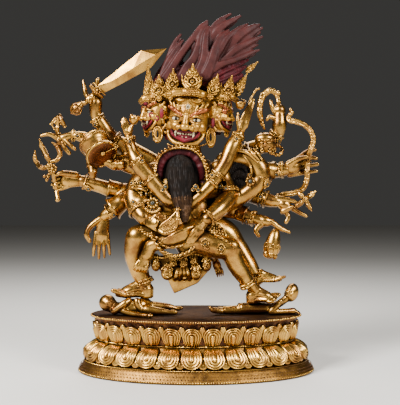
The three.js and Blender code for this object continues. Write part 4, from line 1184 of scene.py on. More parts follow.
# The flame hair: long locks that swirl to the wearer's left, (x, z, depth, radius)
hair = {
    "locks": [
        [
            (-20.6, 140, 4, 2.4), (-19, 146, 3.6, 2), (-17, 151.4, 3.4, 1.8), (-14.8, 157.4, 3.4, 1.7),
            (-12, 163, 3.8, 1.4), (-9.2, 166.6, 4, 0.9),
        ],
        [(-5, 140, 2, 4.6), (-0.6, 148, 2, 4), (2.6, 156, 2, 3.2), (4.6, 164, 2, 2), (5.6, 168, 2, 1.2)],
        [(6, 140, 2, 4.6), (9, 150, 2.4, 3.6), (12.4, 158, 2.4, 3), (17, 164, 2.4, 2.4), (22, 168, 2.6, 1.4)],
        [
            (-20, 140, 3, 3.2), (-17, 149, 2.2, 2.4), (-13.2, 155.4, 2.4, 2), (-10.2, 159.8, 2.8, 1.5),
            (-7.8, 163, 3.4, 0.9),
        ],
        [
            (-18, 140, 1, 3.6), (-14.4, 146.6, 0.8, 2.6), (-10, 153.7, 0.6, 2.4), (-5.6, 159.8, 0.6, 2.2),
            (-1.2, 165.3, 1, 2.1), (2.8, 170.9, 1.8, 1.8), (6.8, 174.8, 2.6, 0.9),
        ],
        [
            (-8, 141, 0, 3.6), (-5.6, 147, 0.4, 2.9), (-1.8, 151.6, 0, 2.8), (0.8, 157, 0, 2.6),
            (2.6, 163.4, 0.6, 2.4), (4.2, 168.4, 1.4, 1.9), (6.8, 173.2, 2.4, 0.9),
        ],
        [
            (0, 141, -2, 4), (3.2, 147, -2.2, 3), (5, 153.7, -2, 2.6), (5.4, 159.8, -1.6, 2.4),
            (6, 166, -0.6, 2), (7.6, 171, 0.8, 1.2),
        ],
        [
            (3, 141, 0, 3.6), (7.6, 152, 0.6, 2.4), (7.8, 159.8, 0.8, 2), (8.3, 165.6, 1, 1.8),
            (10.6, 171.3, 1.6, 1.8), (14.4, 175.2, 2.4, 1.6), (20.8, 179, 3, 0.9),
        ],
        [
            (8, 150, 1.6, 2.4), (9.8, 161, 2, 2.2), (12, 167.4, 1.4, 2.6), (16.4, 171.8, 1.8, 2.4),
            (21.8, 175, 2.6, 1.8), (26.6, 177.8, 3.4, 0.9),
        ],
        [
            (6, 142, -2.4, 3.8), (9.2, 150, -3, 3), (11, 156.6, -2.8, 2.6), (13, 161.4, -2, 2.4),
            (15.4, 165.2, -1, 2.1), (19.6, 169.2, 1, 1),
        ],
        [
            (10, 149, -2, 3), (12.6, 154.6, -2.6, 2.1), (14.9, 157.8, -2.8, 1.8), (17.2, 161.8, -2.4, 1.7),
            (20.2, 166, -1.4, 1.7), (25.4, 170, 0.6, 1.5), (30.8, 172.8, 2.4, 0.8),
        ],
        [
            (14, 150, 0.6, 3.2), (17.4, 154.6, 0.8, 2.4), (20.4, 159.4, 0.6, 2.6), (24.6, 164.7, 0.6, 2.8),
            (29, 168.2, 1.2, 2.6), (34, 171, 2.2, 2), (38, 172.6, 3.4, 0.9),
        ],
        [
            (13, 148, 2, 3), (19, 154, 1.6, 2.2), (24, 158.6, 1.4, 2.2), (29, 163, 1.6, 2.2),
            (34.6, 167.6, 2.4, 1.7), (39.6, 170.6, 3.6, 0.9),
        ],
        [
            (12, 147, 0, 3), (19.1, 153.4, -0.8, 2), (23.8, 157.6, -0.8, 2.1), (28.9, 160.4, 0, 2),
            (34, 163, 1.2, 1.6), (39.8, 165.4, 3.2, 0.9),
        ],
        [
            (10, 146, 0.6, 3), (16.4, 151.3, 0.2, 2.2), (21.9, 154, 0, 2), (27.9, 157, 0.6, 1.9),
            (32.8, 159.2, 1.8, 1.6), (36.8, 160.6, 3, 0.9),
        ],
        [
            (5, 142, -2, 3.4), (10.3, 145.6, -2.6, 2.4), (15.5, 148.9, -2.8, 1.9), (21.7, 150.9, -2, 1.7),
            (27.4, 153.1, -0.8, 1.6), (33.1, 155.7, 0.8, 1.4), (37.8, 157.4, 2.4, 0.8),
        ],
    ],
    "redLocks": [
        [(-21, 138, 7, 4.6), (-12, 142, 6, 6), (2, 143, 6, 6.6), (14, 142, 6, 6), (23, 137.6, 7, 4.6)],
        [
            (4, 140, 0.4, 3.6), (12, 143.6, 0, 3.2), (18.6, 146.6, 0, 2.8), (25.2, 149, 0.8, 2),
            (31, 151.4, 2.4, 0.8),
        ],
        [(10, 138.6, 1.4, 3.6), (17, 141.6, 1.2, 3.2), (23.4, 144.4, 1.6, 2.8), (29.6, 147.6, 2.6, 1)],
        [(14, 136, 2.4, 4), (21, 139.4, 2, 3.2), (26.6, 142, 2.6, 2)],
    ],
}


def lock(bm, joints, shift=0, deeper=0, shorter=1):  # a lock with two flowing ridges
    line, sizes = smoothLine(*drawn(joints), 5)
    line = [line[0] + (point - line[0]) * shorter + Vector((shift, deeper, 0)) * mm for point in line]
    tube(bm, line, sizes, sides=14, flat=0.9)
    for offset, lift, share in ((-0.5, 0.5, 0.4), (0.55, 0.48, 0.36)):
        ridge, thick = [], []
        for i, point in enumerate(line):
            aside, outward = across(ahead(line, i))
            ridge.append(point + (aside * offset + outward * lift * (1 if deeper < 3 else -1)) * sizes[i])
            thick.append(max(share * sizes[i], 0.25 * mm))
        tube(bm, ridge, thick, sides=8)


def makeFlameHair():
    brown, red = bmesh.new(), bmesh.new()
    for joints in hair["locks"]:
        lock(brown, joints)
    for i, joints in enumerate(hair["locks"]):  # the back layer
        lock(brown, joints, 0.6 - (i % 3) * 0.9, 7, 0.95 - 0.03 * (i % 2))
    for joints in hair["redLocks"]:
        lock(red, joints)
    for i in range(15):  # swept up from the nape
        x = -27 + i * 3.25
        rise = 1 - ((x + 4.6) / 26) ** 2
        joints = [
            (x * 0.8 - 1, 108 - rise * 3, 10 + rise * 4, 1.4), (x, 119, 12.6 + rise * 4.4, 2.5),
            (x + 0.6, 131, 11.6 + rise * 4, 2.8), (x * 0.86 + 1.4, 142, 9 + rise * 2.4, 2.8),
            (x * 0.8 + 3, 150, 8, 1.2),
        ]
        limb(brown, joints, sides=12)
    return [
        cast(newPiece("flame_hair_locks", brown, flameRed), 0.5, 2),
        newPiece("flame_hair_root", red, deepCrimson),
    ]


headPieces = makeHeads()
hairPieces = makeFlameHair()
for piece in headPieces:
    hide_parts("guardian_figure")
for piece in hairPieces:
    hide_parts("flame_hair")
report("heads and hair", *headPieces, *hairPieces)

# The consort's hair and crown
veil = {
    "ball": (-9.6, 83, -9.4),
    # rings that the locks hang through: middle x, reach aside, height, middle depth, reach forward, radius
    "locks": [
        (-9.6, 1.4, 94, -9.4, 1.2, 0.6), (-9.6, 5.7, 91, -9.4, 4.6, 0.7), (-9.6, 7.8, 84, -9.4, 6, 0.75),
        (-9.2, 6.6, 76, -10.8, 5.2, 0.8), (-8.6, 5.4, 69.4, -12.8, 3.4, 0.8),
        (-8, 4, 65.4, -14.4, 2.4, 0.5),
    ],
    "ends": [
        (-8.6, 5, 71, -12.6, 3.2, 0.8), (-8, 4.8, 66.6, -14, 2.8, 1.2), (-7.4, 3.4, 61, -15.6, 2.4, 1.1),
        (-6.6, 1.2, 54.6, -18, 1, 0.7),
    ],
    "arch": [
        (-24.9, 80, -8), (-24.6, 84, -9), (-23.4, 90.3, -10), (-19.8, 95.7, -10.4), (-12.6, 98.7, -10.6),
        (-3, 98.1, -10.4), (2.8, 93.3, -10), (5.7, 86.7, -9.4), (7, 78.6, -8),
    ],
}


def hangingLock(bm, rings, degrees, sides):
    x, y = math.sin(math.radians(degrees)), math.cos(math.radians(degrees))
    joints = [(mid + aside * x, z, depth - out * y, radius) for mid, aside, z, depth, out, radius in rings]
    limb(bm, joints, 3, sides=sides)


def makeConsortHead():
    locks, rubbed, metal, red, stones = [bmesh.new() for _ in range(5)]
    mass(locks, seen(*veil["ball"]), (8.1, 6.4, 11))
    # a flat lamp-black disc behind the hair ball is painted shade filling the hollow of the crown
    mass(locks, seen(-9.4, 84.6, -4.4), (14.4, 1.8, 12.6))
    for degrees in range(-108, 109, 9):
        hangingLock(locks, veil["locks"], degrees, 7)
    for degrees in range(-80, 81, 20):  # the gilding shows on the lower locks
        hangingLock(rubbed, veil["ends"], degrees, 9)
    line = strung(veil["arch"])
    wire(metal, line, 0.95, 12)
    beads(metal, [point + forward * 0.8 * mm for point in line], 0.6, 1.5)
    inner = seen(-9.2, 84, -9)
    outside = [point + (point - inner).normalized() * 1.3 * mm for point in line]
    beads(metal, outside, 0.8, 2.3)
    band = [inner + (point - inner) * 0.86 + Vector((0, 2.2, 0)) * mm for point in line]
    wire(red, band, 2.7, 14, flat=0.5)
    for x, z, radius in (
        (-18.4, 75.4, 1.1), (-20, 73.6, 0.8), (-0.2, 75.4, 1.1), (1.4, 73.4, 0.8), (-1.8, 73.8, 0.7),
    ):
        mass(stones, seen(x, z, -14), (radius,) * 3, detail=2)
        hoop(metal, seen(x, z, -14), forward, radius + 0.3, 0.3, 14)
    for i in range(5):  # the crown's points lie back behind the arch
        place = line[6 + i * (len(line) - 13) // 4]
        out = (place - inner).normalized()
        root = place + Vector((0, 2.4, 0)) * mm
        crownLeaf(metal, stones, root, place + out * 1.6 * mm + Vector((0, 7, 0)) * mm, 1.9, out)
    return [
        newPiece("consort_hair", locks, hairPaint),
        newPiece("consort_hair_ends", rubbed, brownHair),
        newPiece("consort_crown", metal, fireGilding),
        newPiece("consort_crown_lining", red, deepCrimson),
        newPiece("consort_crown_stones", stones, stoneGlass),
    ]


consortHead = makeConsortHead()
for piece in consortHead:
    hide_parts("consort_figure")
report("consort's hair and crown", *consortHead)

# What the hands hold
blade = {
    "outline": [
        (-58.8, 136.2), (-46.3, 146.2), (-32.8, 157.2), (-17.8, 158.4), (-26.8, 147), (-34.8, 142.6),
        (-46.2, 136.4), (-55.2, 131.8),
    ],
    "ridge": [(-57.4, 134.4), (-17.8, 158.4)],
    "depth": 1, "edge": 0.3, "spine": 1.9,  # half the thickness at the edge and at the ridge
}


def makeBlade():
    own = bmesh.new()
    face = own.faces.new([own.verts.new(seen(x, z, blade["depth"])) for x, z in blade["outline"]])
    start, end = [seen(x, z, blade["depth"]) for x, z in blade["ridge"]]
    normal = (end - start).cross(forward).normalized()
    cut = bmesh.ops.bisect_plane(
        own, geom=[*own.verts, *own.edges, face], dist=1e-5, plane_co=start, plane_no=normal,
    )
    ridge = vertsOf(cut["geom_cut"])
    edges = [edge for edge in own.edges if edge.verts[0] in ridge and edge.verts[1] in ridge]
    bmesh.ops.subdivide_edges(own, edges=edges, cuts=5)
    back = list(own.verts)
    grown = bmesh.ops.extrude_face_region(own, geom=list(own.faces))["geom"]
    front = vertsOf(grown)
    tip = seen(*blade["outline"][3], blade["depth"])
    for verts, side in ((back, -forward), (front, forward)):
        for vert in verts:
            away = abs((vert.co - start).dot(normal))
            fade = min(1, 0.15 + (vert.co - tip).length / (9 * mm))
            vert.co += side * (blade["spine"] if away < 0.3 * mm else blade["edge"]) * fade * mm
    bmesh.ops.triangulate(own, faces=own.faces)
    return newPiece("sword_blade", own, fireGilding, smooth=False)


sword = {
    "grip": [
        (-70.4, 125, 0.8, 1.5), (-66, 126.2, 0.8, 1.5), (-61.8, 130.4, 0.8, 1.7), (-59, 132.6, 0.6, 1.9),
    ],
    "pommel": [
        (1.5, 0), (2.5, 0.08), (1.9, 0.16), (2.7, 0.3), (3.2, 0.5), (2.7, 0.7), (1.5, 0.86), (1, 0.94),
        (0.4, 1),
    ],
    "guard": [(-63, 136, -0.4, 1.1), (-60.4, 132.8, -1, 1.7), (-56.4, 129.2, -0.4, 1.1)],
}


def makeSword():
    metal = bmesh.new()
    limb(metal, sword["grip"], sides=14)
    start, end = seen(-68.6, 125.2, 0.8), seen(-75, 119.2, 0.8)
    turned(metal, sword["pommel"], start, end, 24)
    for i in range(8):  # the bud's sepals
        out = around(*across(end - start), 2 * math.pi * i / 8) * mm
        line = [
            start.lerp(end, share) + out * radius
            for share, radius in ((0.26, 2.4), (0.5, 3.3), (0.72, 2.7), (0.9, 1))
        ]
        bar(metal, line, (0.5, 0.8, 0.7, 0.3), 3, sides=8)
    limb(metal, sword["guard"], sides=12, flat=1.3)
    limb(metal, [(x + 1.7, z + 1.5, depth, radius * 0.6) for x, z, depth, radius in sword["guard"]], sides=10)
    rosette(metal, None, seen(-59.2, 133.2, -2.2), forward, 2.5, 10)
    return newPiece("sword_grip", metal, fireGilding)


axe = {
    "shaft": [(-82.6, 115, 7, 1.3), (-83.2, 107.6, 7.4, 1.3), (-81.6, 95, 7.4, 1.2)],
    "head": [
        ([(-86.8, 113.2, 6.6, 0.9), (-84.6, 115.8, 6.6, 1.3), (-81.6, 118.2, 6.6, 1.1)], 0.6),
        ([(-81.8, 118, 6.6, 1.1), (-80.2, 114.6, 6.6, 1.3), (-78.8, 111.8, 6.6, 1.2)], 0.6),
        ([(-83.8, 114.4, 6.6, 1.6), (-81.8, 116, 6.6, 1.2), (-80.8, 113.6, 6.6, 1.2)], 0.5),
    ],
    "spur": [(-86.4, 112.6, 6.8, 0.45), (-84.8, 109.4, 7.2, 0.5)],
}


def makeAxe():
    bm = bmesh.new()
    limb(bm, axe["shaft"], sides=12)
    for joints, flat in axe["head"]:
        limb(bm, joints, sides=10, flat=flat)
    limb(bm, axe["spur"], sides=8)
    for z in (107.4, 105.8, 97):
        hoop(bm, seen(-82.8 if z > 100 else -81.7, z, 7.4), upward, 1.5, 0.5, 14)
    mass(bm, seen(-81.6, 94.4, 7.4), (1.6, 1.6, 1.3), detail=2)
    return newPiece("axe_and_shaft", bm, fireGilding)


trident = [  # three prongs of joints, the middle one with the shaft
    [
        (-96.6, 97, 1, 0.5), (-96.6, 92.4, 1, 1.3), (-94, 87.8, 1, 1.5), (-90.2, 86.8, 1, 1.3),
        (-87.4, 89.6, 1, 1.4),
    ],
    [
        (-94, 104, 1, 0.5), (-92.4, 99.6, 1, 1.5), (-90, 94.6, 1, 1.6), (-87.6, 90, 1, 1.1),
        (-86.4, 86.4, 1, 1.5), (-84.4, 77, 1, 1.2), (-83, 68.4, 1, 1.2),
    ],
    [
        (-86.2, 102, 1, 0.5), (-83.4, 99.6, 1, 1.3), (-81.6, 95.4, 1, 1.5), (-83.4, 91.6, 1, 1.4),
        (-87.2, 90.2, 1, 1.3),
    ],
]


def makeTrident():
    bm = bmesh.new()
    for joints in trident:
        limb(bm, joints, sides=12, flat=0.7)
        limb(bm, [(x, z, depth - radius * 0.55, radius * 0.3) for x, z, depth, radius in joints[:4]], sides=8)
    rosette(bm, None, seen(-86.2, 86.3, -0.6), forward, 2.9, 9)
    hoop(bm, seen(-86.2, 86.3, -0.8), forward, 1.6, 0.45, 18)
    for x, z in ((-91, 81.8), (-88.6, 81.4), (-89.6, 79.6)):
        bead(bm, seen(x, z, 0.4), 1.15)
    limb(bm, [(-87, 84, 1, 1), (-89.6, 81.4, 1, 0.9)], sides=8)
    mass(bm, seen(-83, 67.8, 1), (1.6, 1.6, 1.5), detail=2)
    return newPiece("trident_and_shaft", bm, fireGilding)


drum = {
    "front": (-56.4, 94.6, -9), "back": (-61, 102, -1.4),  # the middles of the two skins
    "skin": [(8.8, 0), (8.4, 0.5), (5, 0.8), (0.3, 1)],
    "profile": [
        (8.8, 0), (9.5, 0.03), (9.5, 0.1), (9, 0.13), (9, 0.2), (7.4, 0.34), (5, 0.48), (5, 0.52),
        (7.4, 0.66), (9, 0.8), (9, 0.87), (9.5, 0.9), (9.5, 0.97), (8.8, 1),
    ],
}


def makeDrum():
    metal, skin = bmesh.new(), bmesh.new()
    front, back = seen(*drum["front"]), seen(*drum["back"])
    axis = (back - front).normalized()
    turned(metal, drum["profile"], front, back, 44)
    for share, radius in ((0.02, 9.1), (0.98, 9.1)):
        hoop(metal, front.lerp(back, share), axis, radius, 0.6, 44)
    for share, radius in ((0.165, 9.1), (0.835, 9.1), (0.5, 5.1)):
        beads(metal, ringLine(front.lerp(back, share), axis, radius, 44), 0.42, 1.1)
    for centre, out in ((front, -axis), (back, axis)):
        turned(skin, drum["skin"], centre - out * 0.4 * mm, centre + out * 0.5 * mm, 32)
    aside, outward = across(axis)
    tie = front.lerp(back, 0.5) + (aside * 4.6 + outward * 3) * mm
    cord = [tie, seen(-46.8, 100, -6), seen(-51, 97.8, -10), seen(-55, 95.9, -10.8)]
    bar(metal, cord, [0.4] * 4, sides=8)
    mass(metal, seen(-55.8, 95.4, -10.8), (1.7, 1.6, 1.5), detail=2)
    limb(metal, [(-62.4, 90, -1, 3.6), (-62, 85.4, -2, 3), (-61.8, 81.6, -2.4, 2)], sides=14)
    limb(metal, [(-54, 90.4, -2, 2.4), (-48.6, 88.6, -2, 3.4), (-43.6, 88.6, -1, 3)], sides=14)
    for i in range(46):  # the grained skin of the pouch
        turn = i * 2.4
        x, z = -48.4 + math.cos(turn) * 0.66 * i ** 0.5, 88.6 + math.sin(turn) * 0.38 * i ** 0.5
        bead(metal, seen(x, z, -4.6 + 0.035 * i), 0.5)
    return [newPiece("drum_frame", metal, fireGilding), newPiece("drum_skins", skin, bareCopper)]


severedBrow = [(0.8, 103.2, -5, 0.4), (2.4, 103.8, -4.9, 0.6), (4, 102.8, -4, 0.3)]


def makeSeveredHead():
    bm = bmesh.new()
    centre = seen(41.8, 101.8, 0.4)
    mass(bm, centre, (5.9, 5.2, 6.2))
    mass(bm, seen(41.4, 104.2, -1), (6.2, 4.6, 3.8))
    for side in (-1, 1):
        mass(bm, seen(41.7 + 5.5 * side, 103.6, -0.6), (1, 1.4, 1.9), detail=2)
        mass(bm, seen(41.6 + 2.1 * side, 101.8, -4.6), (1.3, 0.9, 0.8), detail=2)
        brow = [(41.6 + aside * side, z, depth, radius) for aside, z, depth, radius in severedBrow]
        limb(bm, brow, sides=7)
    limb(bm, [(41.6, 103, -4.8, 0.7), (41.6, 100.4, -5.4, 1)], sides=8)  # the nose
    for i in range(8):  # the ringlets of beard
        turn = math.radians(-80 + 160 * (i % 4) / 3)
        row = i // 4
        place = seen(
            42 + math.sin(turn) * 5.2, 99.6 - row * 2 - 0.6 * math.cos(turn), 0.4 - math.cos(turn) * 4.6,
        )
        hoop(bm, place, forward, 0.8, 0.45, 10)
    middle = seen(48.9, 97.2, 0)
    for strand in (0, math.pi):
        line = []
        for i, point in enumerate(ringLine(middle, forward, 2.7, 30)):
            out = (point - middle).normalized()
            line.append(point + around(out, forward, strand + i * 1.05) * 0.5 * mm)
        wire(bm, line, 0.65, 8, rounded=False)
    limb(bm, [(44, 96.4, -1, 1.2), (47, 95, -0.6, 0.9)], sides=8)
    limb(bm, [(46.4, 102.6, 3.6, 1.2), (47.2, 107.4, 6, 1.1)], sides=8)  # the lock it hangs by
    return newPiece("severed_head_and_locks", bm, fireGilding)


hook = [  # x, z, depth, radius from the shaft round to the point
    (50, 108, 8, 1.2), (50, 119, 8, 1.2), (49.6, 125.6, 7.4, 1.4), (48.6, 130.2, 7, 1.5),
    (45.4, 133.2, 6.6, 1.7), (41.4, 131.4, 6.6, 1.9), (38.8, 126.6, 6.6, 1.9), (38.2, 120.4, 6.6, 1.8),
    (39.4, 114.4, 6.2, 1.4), (41.2, 109.8, 6, 0.6),
]


def makeHook():
    bm = bmesh.new()
    limb(bm, hook, sides=14, flat=0.7)
    limb(bm, [(x, z, depth - radius * 0.6, radius * 0.3) for x, z, depth, radius in hook[3:9]], sides=8)
    mass(bm, seen(49.4, 131.6, 6.4), (1.6, 1.5, 1.6), detail=2)
    hoop(bm, seen(49.9, 124, 7.6), upward, 1.9, 0.5, 14)
    return newPiece("hook_and_shaft", bm, fireGilding)


bow = [  # x, z, depth from the upper horn to the lower one
    (57.4, 119.4, 3), (55.8, 118, 3), (56.2, 115.4, 3), (60, 114.6, 3), (65, 112.6, 3), (69, 108.6, 3),
    (70.4, 103.6, 3), (69, 98.4, 3), (67.4, 93.4, 3), (66.8, 87, 3.2), (66.6, 80.6, 3.8), (64.8, 75.2, 4.6),
    (60.6, 72.2, 5.6), (54, 70.9, 6.4), (49.4, 69.8, 7), (47, 67.4, 7), (48.6, 65.2, 7), (50, 66.6, 7),
]


def makeBow():
    bm = bmesh.new()
    line = strung(bow, 5)
    last = len(line) - 1
    opened = [min(1, min(i, last - i) / 9) for i in range(len(line))]  # the rails part from the ends on
    for side in (-1, 1):
        rail = []
        for i, point in enumerate(line):
            aside, _ = across(ahead(line, i))
            gap = 0.78 * opened[i]
            rail.append(point + aside * side * gap * mm)
        tube(bm, rail, [(0.86 + 0.2 * (1 - share)) * mm for share in opened], sides=12)
    wire(bm, line, 0.66, 8)
    for share in (0.5, 0.56):
        point = line[int(share * last)]
        hoop(bm, point, line[int(share * last) + 1] - point, 1.9, 0.5, 18, 0.62)
    for x, z, depth in (
        (57.6, 120.2, 2.6), (56.8, 121.6, 2.8), (50.2, 67.2, 6.4), (48.4, 65, 6.4), (46.6, 66.6, 6.4),
    ):
        mass(bm, seen(x, z, depth), (1.2, 1.1, 1.2), detail=2)
    return newPiece("bow_stave", bm, fireGilding)


def makeVajra():
    bm = bmesh.new()
    centre = (65.6, 67.8, -1)
    for x, z in ((71.8, 72.8), (58.2, 62), (69.4, 61), (60.2, 73.4)):
        side = [
            (centre[0] + (x - centre[0]) * share, centre[1] + (z - centre[1]) * share)
            for share in (0.1, 0.4, 0.7, 1)
        ]
        joints = [(*place, -1, radius) for place, radius in zip(side, (1.1, 1.7, 1.4, 0.4))]
        limb(bm, joints, sides=10, flat=0.8)
        for turn in (-0.9, 0.9):
            end = seen(side[2][0] + turn, side[2][1] - turn, -1.6)
            beads(bm, [seen(*side[0], -1.8), end], 0.42, 0.95)
    mass(bm, seen(*centre), (2.2, 2, 2.2), detail=2)
    rosette(bm, None, seen(centre[0], centre[1], -2.6), forward, 1.7, 7)
    return newPiece("crossed_vajra", bm, fireGilding)


bell = {
    "mouth": (43.9, 32, 1), "crown": (48, 50.2, 1),
    "profile": [
        (3.4, 0.1), (4.6, 0.24), (4.9, 0.34), (4.7, 0.4), (4.7, 0.48), (4.3, 0.62), (3.6, 0.78), (2.7, 0.9),
        (1.3, 1),
    ],
}


def makeBell():
    bm = bmesh.new()
    start, end = seen(*bell["mouth"]), seen(*bell["crown"])
    axis = (end - start).normalized()
    turned(bm, bell["profile"], start, end, 30)
    for share, radius in ((0.38, 4.8), (0.5, 4.5)):
        hoop(bm, start.lerp(end, share), axis, radius, 0.42, 30)
    for i in range(6):  # the lobes of the mouth
        out = around(*across(axis), 2 * math.pi * (i + 0.5) / 6)
        mass(bm, start + axis * 2.8 * mm + out * 2.9 * mm, (1.9, 1.9, 2.4), detail=2)
    mass(bm, start + axis * 1.6 * mm, (2.6, 2.6, 1.6), detail=2)
    for i in range(9):  # the petals' ribs
        out = around(*across(axis), 2 * math.pi * i / 9)
        line = [
            start.lerp(end, share) + out * radius * mm
            for share, radius in ((0.5, 4.6), (0.44, 5), (0.36, 4.9), (0.26, 4.5))
        ]
        bar(bm, line, [0.3] * 4, 3, sides=6)
    return newPiece("bell_of_petals", bm, fireGilding)


heldThings = {
    "sword": [makeBlade(), makeSword()], "axe": [makeAxe()], "trident": [makeTrident()], "drum": makeDrum(),
    "severed_head": [makeSeveredHead()], "hook": [makeHook()], "bow": [makeBow()], "vajra": [makeVajra()],
    "bell": [makeBell()],
}
for node, pieces in heldThings.items():
    for piece in pieces:
        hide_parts(node)
    report(node, *pieces)

# The garland of heads, and the cloth that hangs under it
garland = {
    "heads": [  # x, z, depth, half width, half height
        (-24, 29.3, -12, 3, 4.6), (-17.2, 23.6, -12.6, 3.8, 4.2), (-13.4, 30, -13, 2.8, 2.9),
        (-7.4, 29.4, -14, 2.9, 3.1), (-1.4, 31, -14, 2.6, 2.9), (6.3, 28.6, -13, 3, 4.1),
        (0, 23.8, -13.6, 3.4, 4.4),
    ],
    "cloth": [(-25, 30), (-16.6, 19.4), (-13, 11.6), (1, 17.8), (8.2, 26), (6, 33), (-10, 35), (-24, 34)],
    "pleats": [(-10.8, -12.6), (-9, -9.8), (-7.2, -6.8), (-5.4, -3.8)],  # x above and below
    "string": [
        (-26.4, 34, -13), (-20, 32.6, -15), (-13.6, 34.2, -15.6), (-7.4, 34, -16), (-1.2, 35, -16),
        (5.6, 33.8, -15), (9, 31.4, -13),
    ],
}


def garlandHead(bm, x, z, depth, halfWidth, halfHeight):
    size = halfWidth / 3

    def at(aside, up, out):  # aside and up are shares of the head's size, out is in mm
        return x + aside * size, z + up * size, depth - out

    mass(bm, seen(x, z, depth), (halfWidth, 2.9, halfHeight))
    jaw = seen(x, z - halfHeight * 0.4, depth - 0.6)
    mass(bm, jaw, (halfWidth * 0.78, 2.4, halfHeight * 0.55), detail=2)
    limb(bm, [(*at(0, 1.2, 2.4), 0.4 * size), (*at(0, -0.6, 3.3), 0.75 * size)], sides=8)  # the nose
    for side in (-1, 1):  # eye, brow and cheek
        mass(bm, seen(*at(1.2 * side, 0.5, 2.5)), (0.75 * size, 0.55, 0.5 * size), detail=2)
        brow = [
            (*at(0.4 * side, 1.3, 2.8), 0.3), (*at(1.5 * side, 1.7, 2.6), 0.4),
            (*at(2.3 * side, 1.1, 1.8), 0.25),
        ]
        limb(bm, brow, sides=7)
        mass(bm, seen(*at(1.5 * side, -1.1, 2.1)), (0.85 * size, 0.7, 0.8 * size), detail=2)
    lips = [(*at(-1.1, -1.9, 2.6), 0.35), (*at(0, -2.1, 3), 0.4), (*at(1.1, -1.9, 2.6), 0.35)]
    limb(bm, lips, sides=7)
    for i in range(5):  # hair drawn up to the string
        lean = (i - 2) * 0.42 * halfWidth
        joints = [
            (x + lean, z + halfHeight * 0.5, depth - 2 + 0.35 * abs(i - 2), 0.5),
            (x + lean * 0.7, z + halfHeight * 0.92, depth - 1.4, 0.55),
            (x + lean * 0.2, z + halfHeight + 1.2, depth - 1, 0.35),
        ]
        limb(bm, joints, sides=7)


def makeGarland():
    bm = bmesh.new()
    for head in garland["heads"]:
        garlandHead(bm, *head)
    plate(bm, garland["cloth"], -8.6, 2.6)
    for high, low in garland["pleats"]:
        joints = [(high, 27, -13, 0.9), (high * 0.5 + low * 0.5, 23, -14.2, 1.3), (low, 20, -12.6, 1.5)]
        limb(bm, joints, sides=10)
    line = strung(garland["string"])
    beads(bm, line, 0.85, 1.75)
    wire(bm, line, 0.45)
    return newPiece("garland_of_heads", bm, fireGilding)


garlandPieces = [makeGarland()]
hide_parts("head_garland")
report("garland", *garlandPieces)

# Jewellery: place, a point further up the limb, radius, and the side that the stone faces
frontal, toLeft, toRight = Vector((0, -1, 0)), Vector((-0.7, -1, 0)), Vector((0.7, -1, 0))
downLeft, downRight = Vector((-0.5, -1, -0.6)), Vector((0.5, -1, -0.6))
bracelets = [
    ((-59.4, 116.8, 4.8), (-57, 113, 5.4), 4.1, toLeft),  # sword arm
    ((-48.6, 103, 8), (-44, 100.6, 8), 5.4, downLeft),
    ((-74.4, 106, 8), (-70, 105.4, 9), 3, frontal),  # axe arm
    ((-66.8, 78.4, 6.8), (-62, 77, 8), 4, downLeft),  # trident arm
    ((-52.8, 60.4, 5), (-50.4, 61.6, 5), 4, downRight),  # lowered arm
    ((-34, 71.6, -3.4), (-33, 76, -1.6), 6.9, toLeft),  # main right arm
    ((-26.6, 79.4, -8.8), (-30, 83.8, -8), 4.4, None),
    ((-34, 60.8, -8.4), (-35.2, 63, -7), 5.8, frontal),
    ((48.6, 107.2, 8), (46.6, 104, 8.6), 4.2, downRight),  # hook arm
    ((52, 85.6, 5.2), (48, 85.4, 6.2), 4.4, downLeft),  # bow arm
    ((42, 68, 5.4), (38, 69.4, 6.2), 4.8, frontal),  # vajra arm
    ((34.8, 56.4, 2.8), (31, 57.6, 3.8), 4.2, downLeft),  # bell arm
    ((39.8, 80.6, 1), (39, 78, 1), 5, downRight),  # bent arm
    ((19.6, 71.6, -2.6), (18.6, 75.6, -1), 6, toLeft),  # main left arm
    ((6.6, 56.4, -18), (10, 59, -15.6), 4.5, None),
    ((8.8, 77, -8.8), (11.6, 80.6, -7.8), 4.2, None),
    ((-36, 90.8, -6.8), (-33, 87, -7.2), 4.6, toRight),  # consort's arms
    ((-40, 104.4, -5), (-39, 100, -5.6), 3.2, frontal),
    ((13.6, 82.6, -7.4), (11.6, 79, -8), 4.4, toLeft),
    ((25.4, 106.2, -3.2), (24, 103.6, -3.4), 3.4, frontal),
]
anklets = [
    ((-31, 18.8, -6), (-32.4, 22.4, -6), 5), ((36, 21.4, 1.2), (34.4, 24.4, 2), 4.7),
    ((31, 17.6, -12.2), (29.6, 20, -12.8), 4.6),
]


def bracelet(metal, stones, centre, towards, radius, gem):
    axis = (towards - centre).normalized()
    hoop(metal, centre, axis, radius + 0.25, 0.75, 30)
    hoop(metal, centre + axis * 1.7 * mm, axis, radius + 0.05, 0.45, 30)
    beads(metal, ringLine(centre + axis * 0.95 * mm, axis, radius + 0.3, 30), 0.42, 1)
    if gem is None:
        return
    gem = (gem - axis * gem.dot(axis)).normalized()
    seat = centre + gem * (radius + 0.5) * mm + axis * 3 * mm
    line = [seat - axis * 1.6 * mm, seat, seat + axis * 3 * mm]
    bar(metal, line, (1.7, 1.7, 0.3), sides=12, flat=0.4, facing=gem)
    rosette(metal, stones, seat + gem * 0.5 * mm, gem, 1.7, 9)


def tassel(metal, stones, top, drop, swing=0):  # a beaded pendant with a stone
    end = top + Vector((swing, -0.4, -drop)) * mm
    beads(metal, [top, end], 0.5, 1.05)
    mass(metal, end, (1, 0.9, 1.5), detail=2)
    if stones:
        mass(stones, end + forward * 0.7 * mm, (0.6, 0.6, 0.8), detail=2)


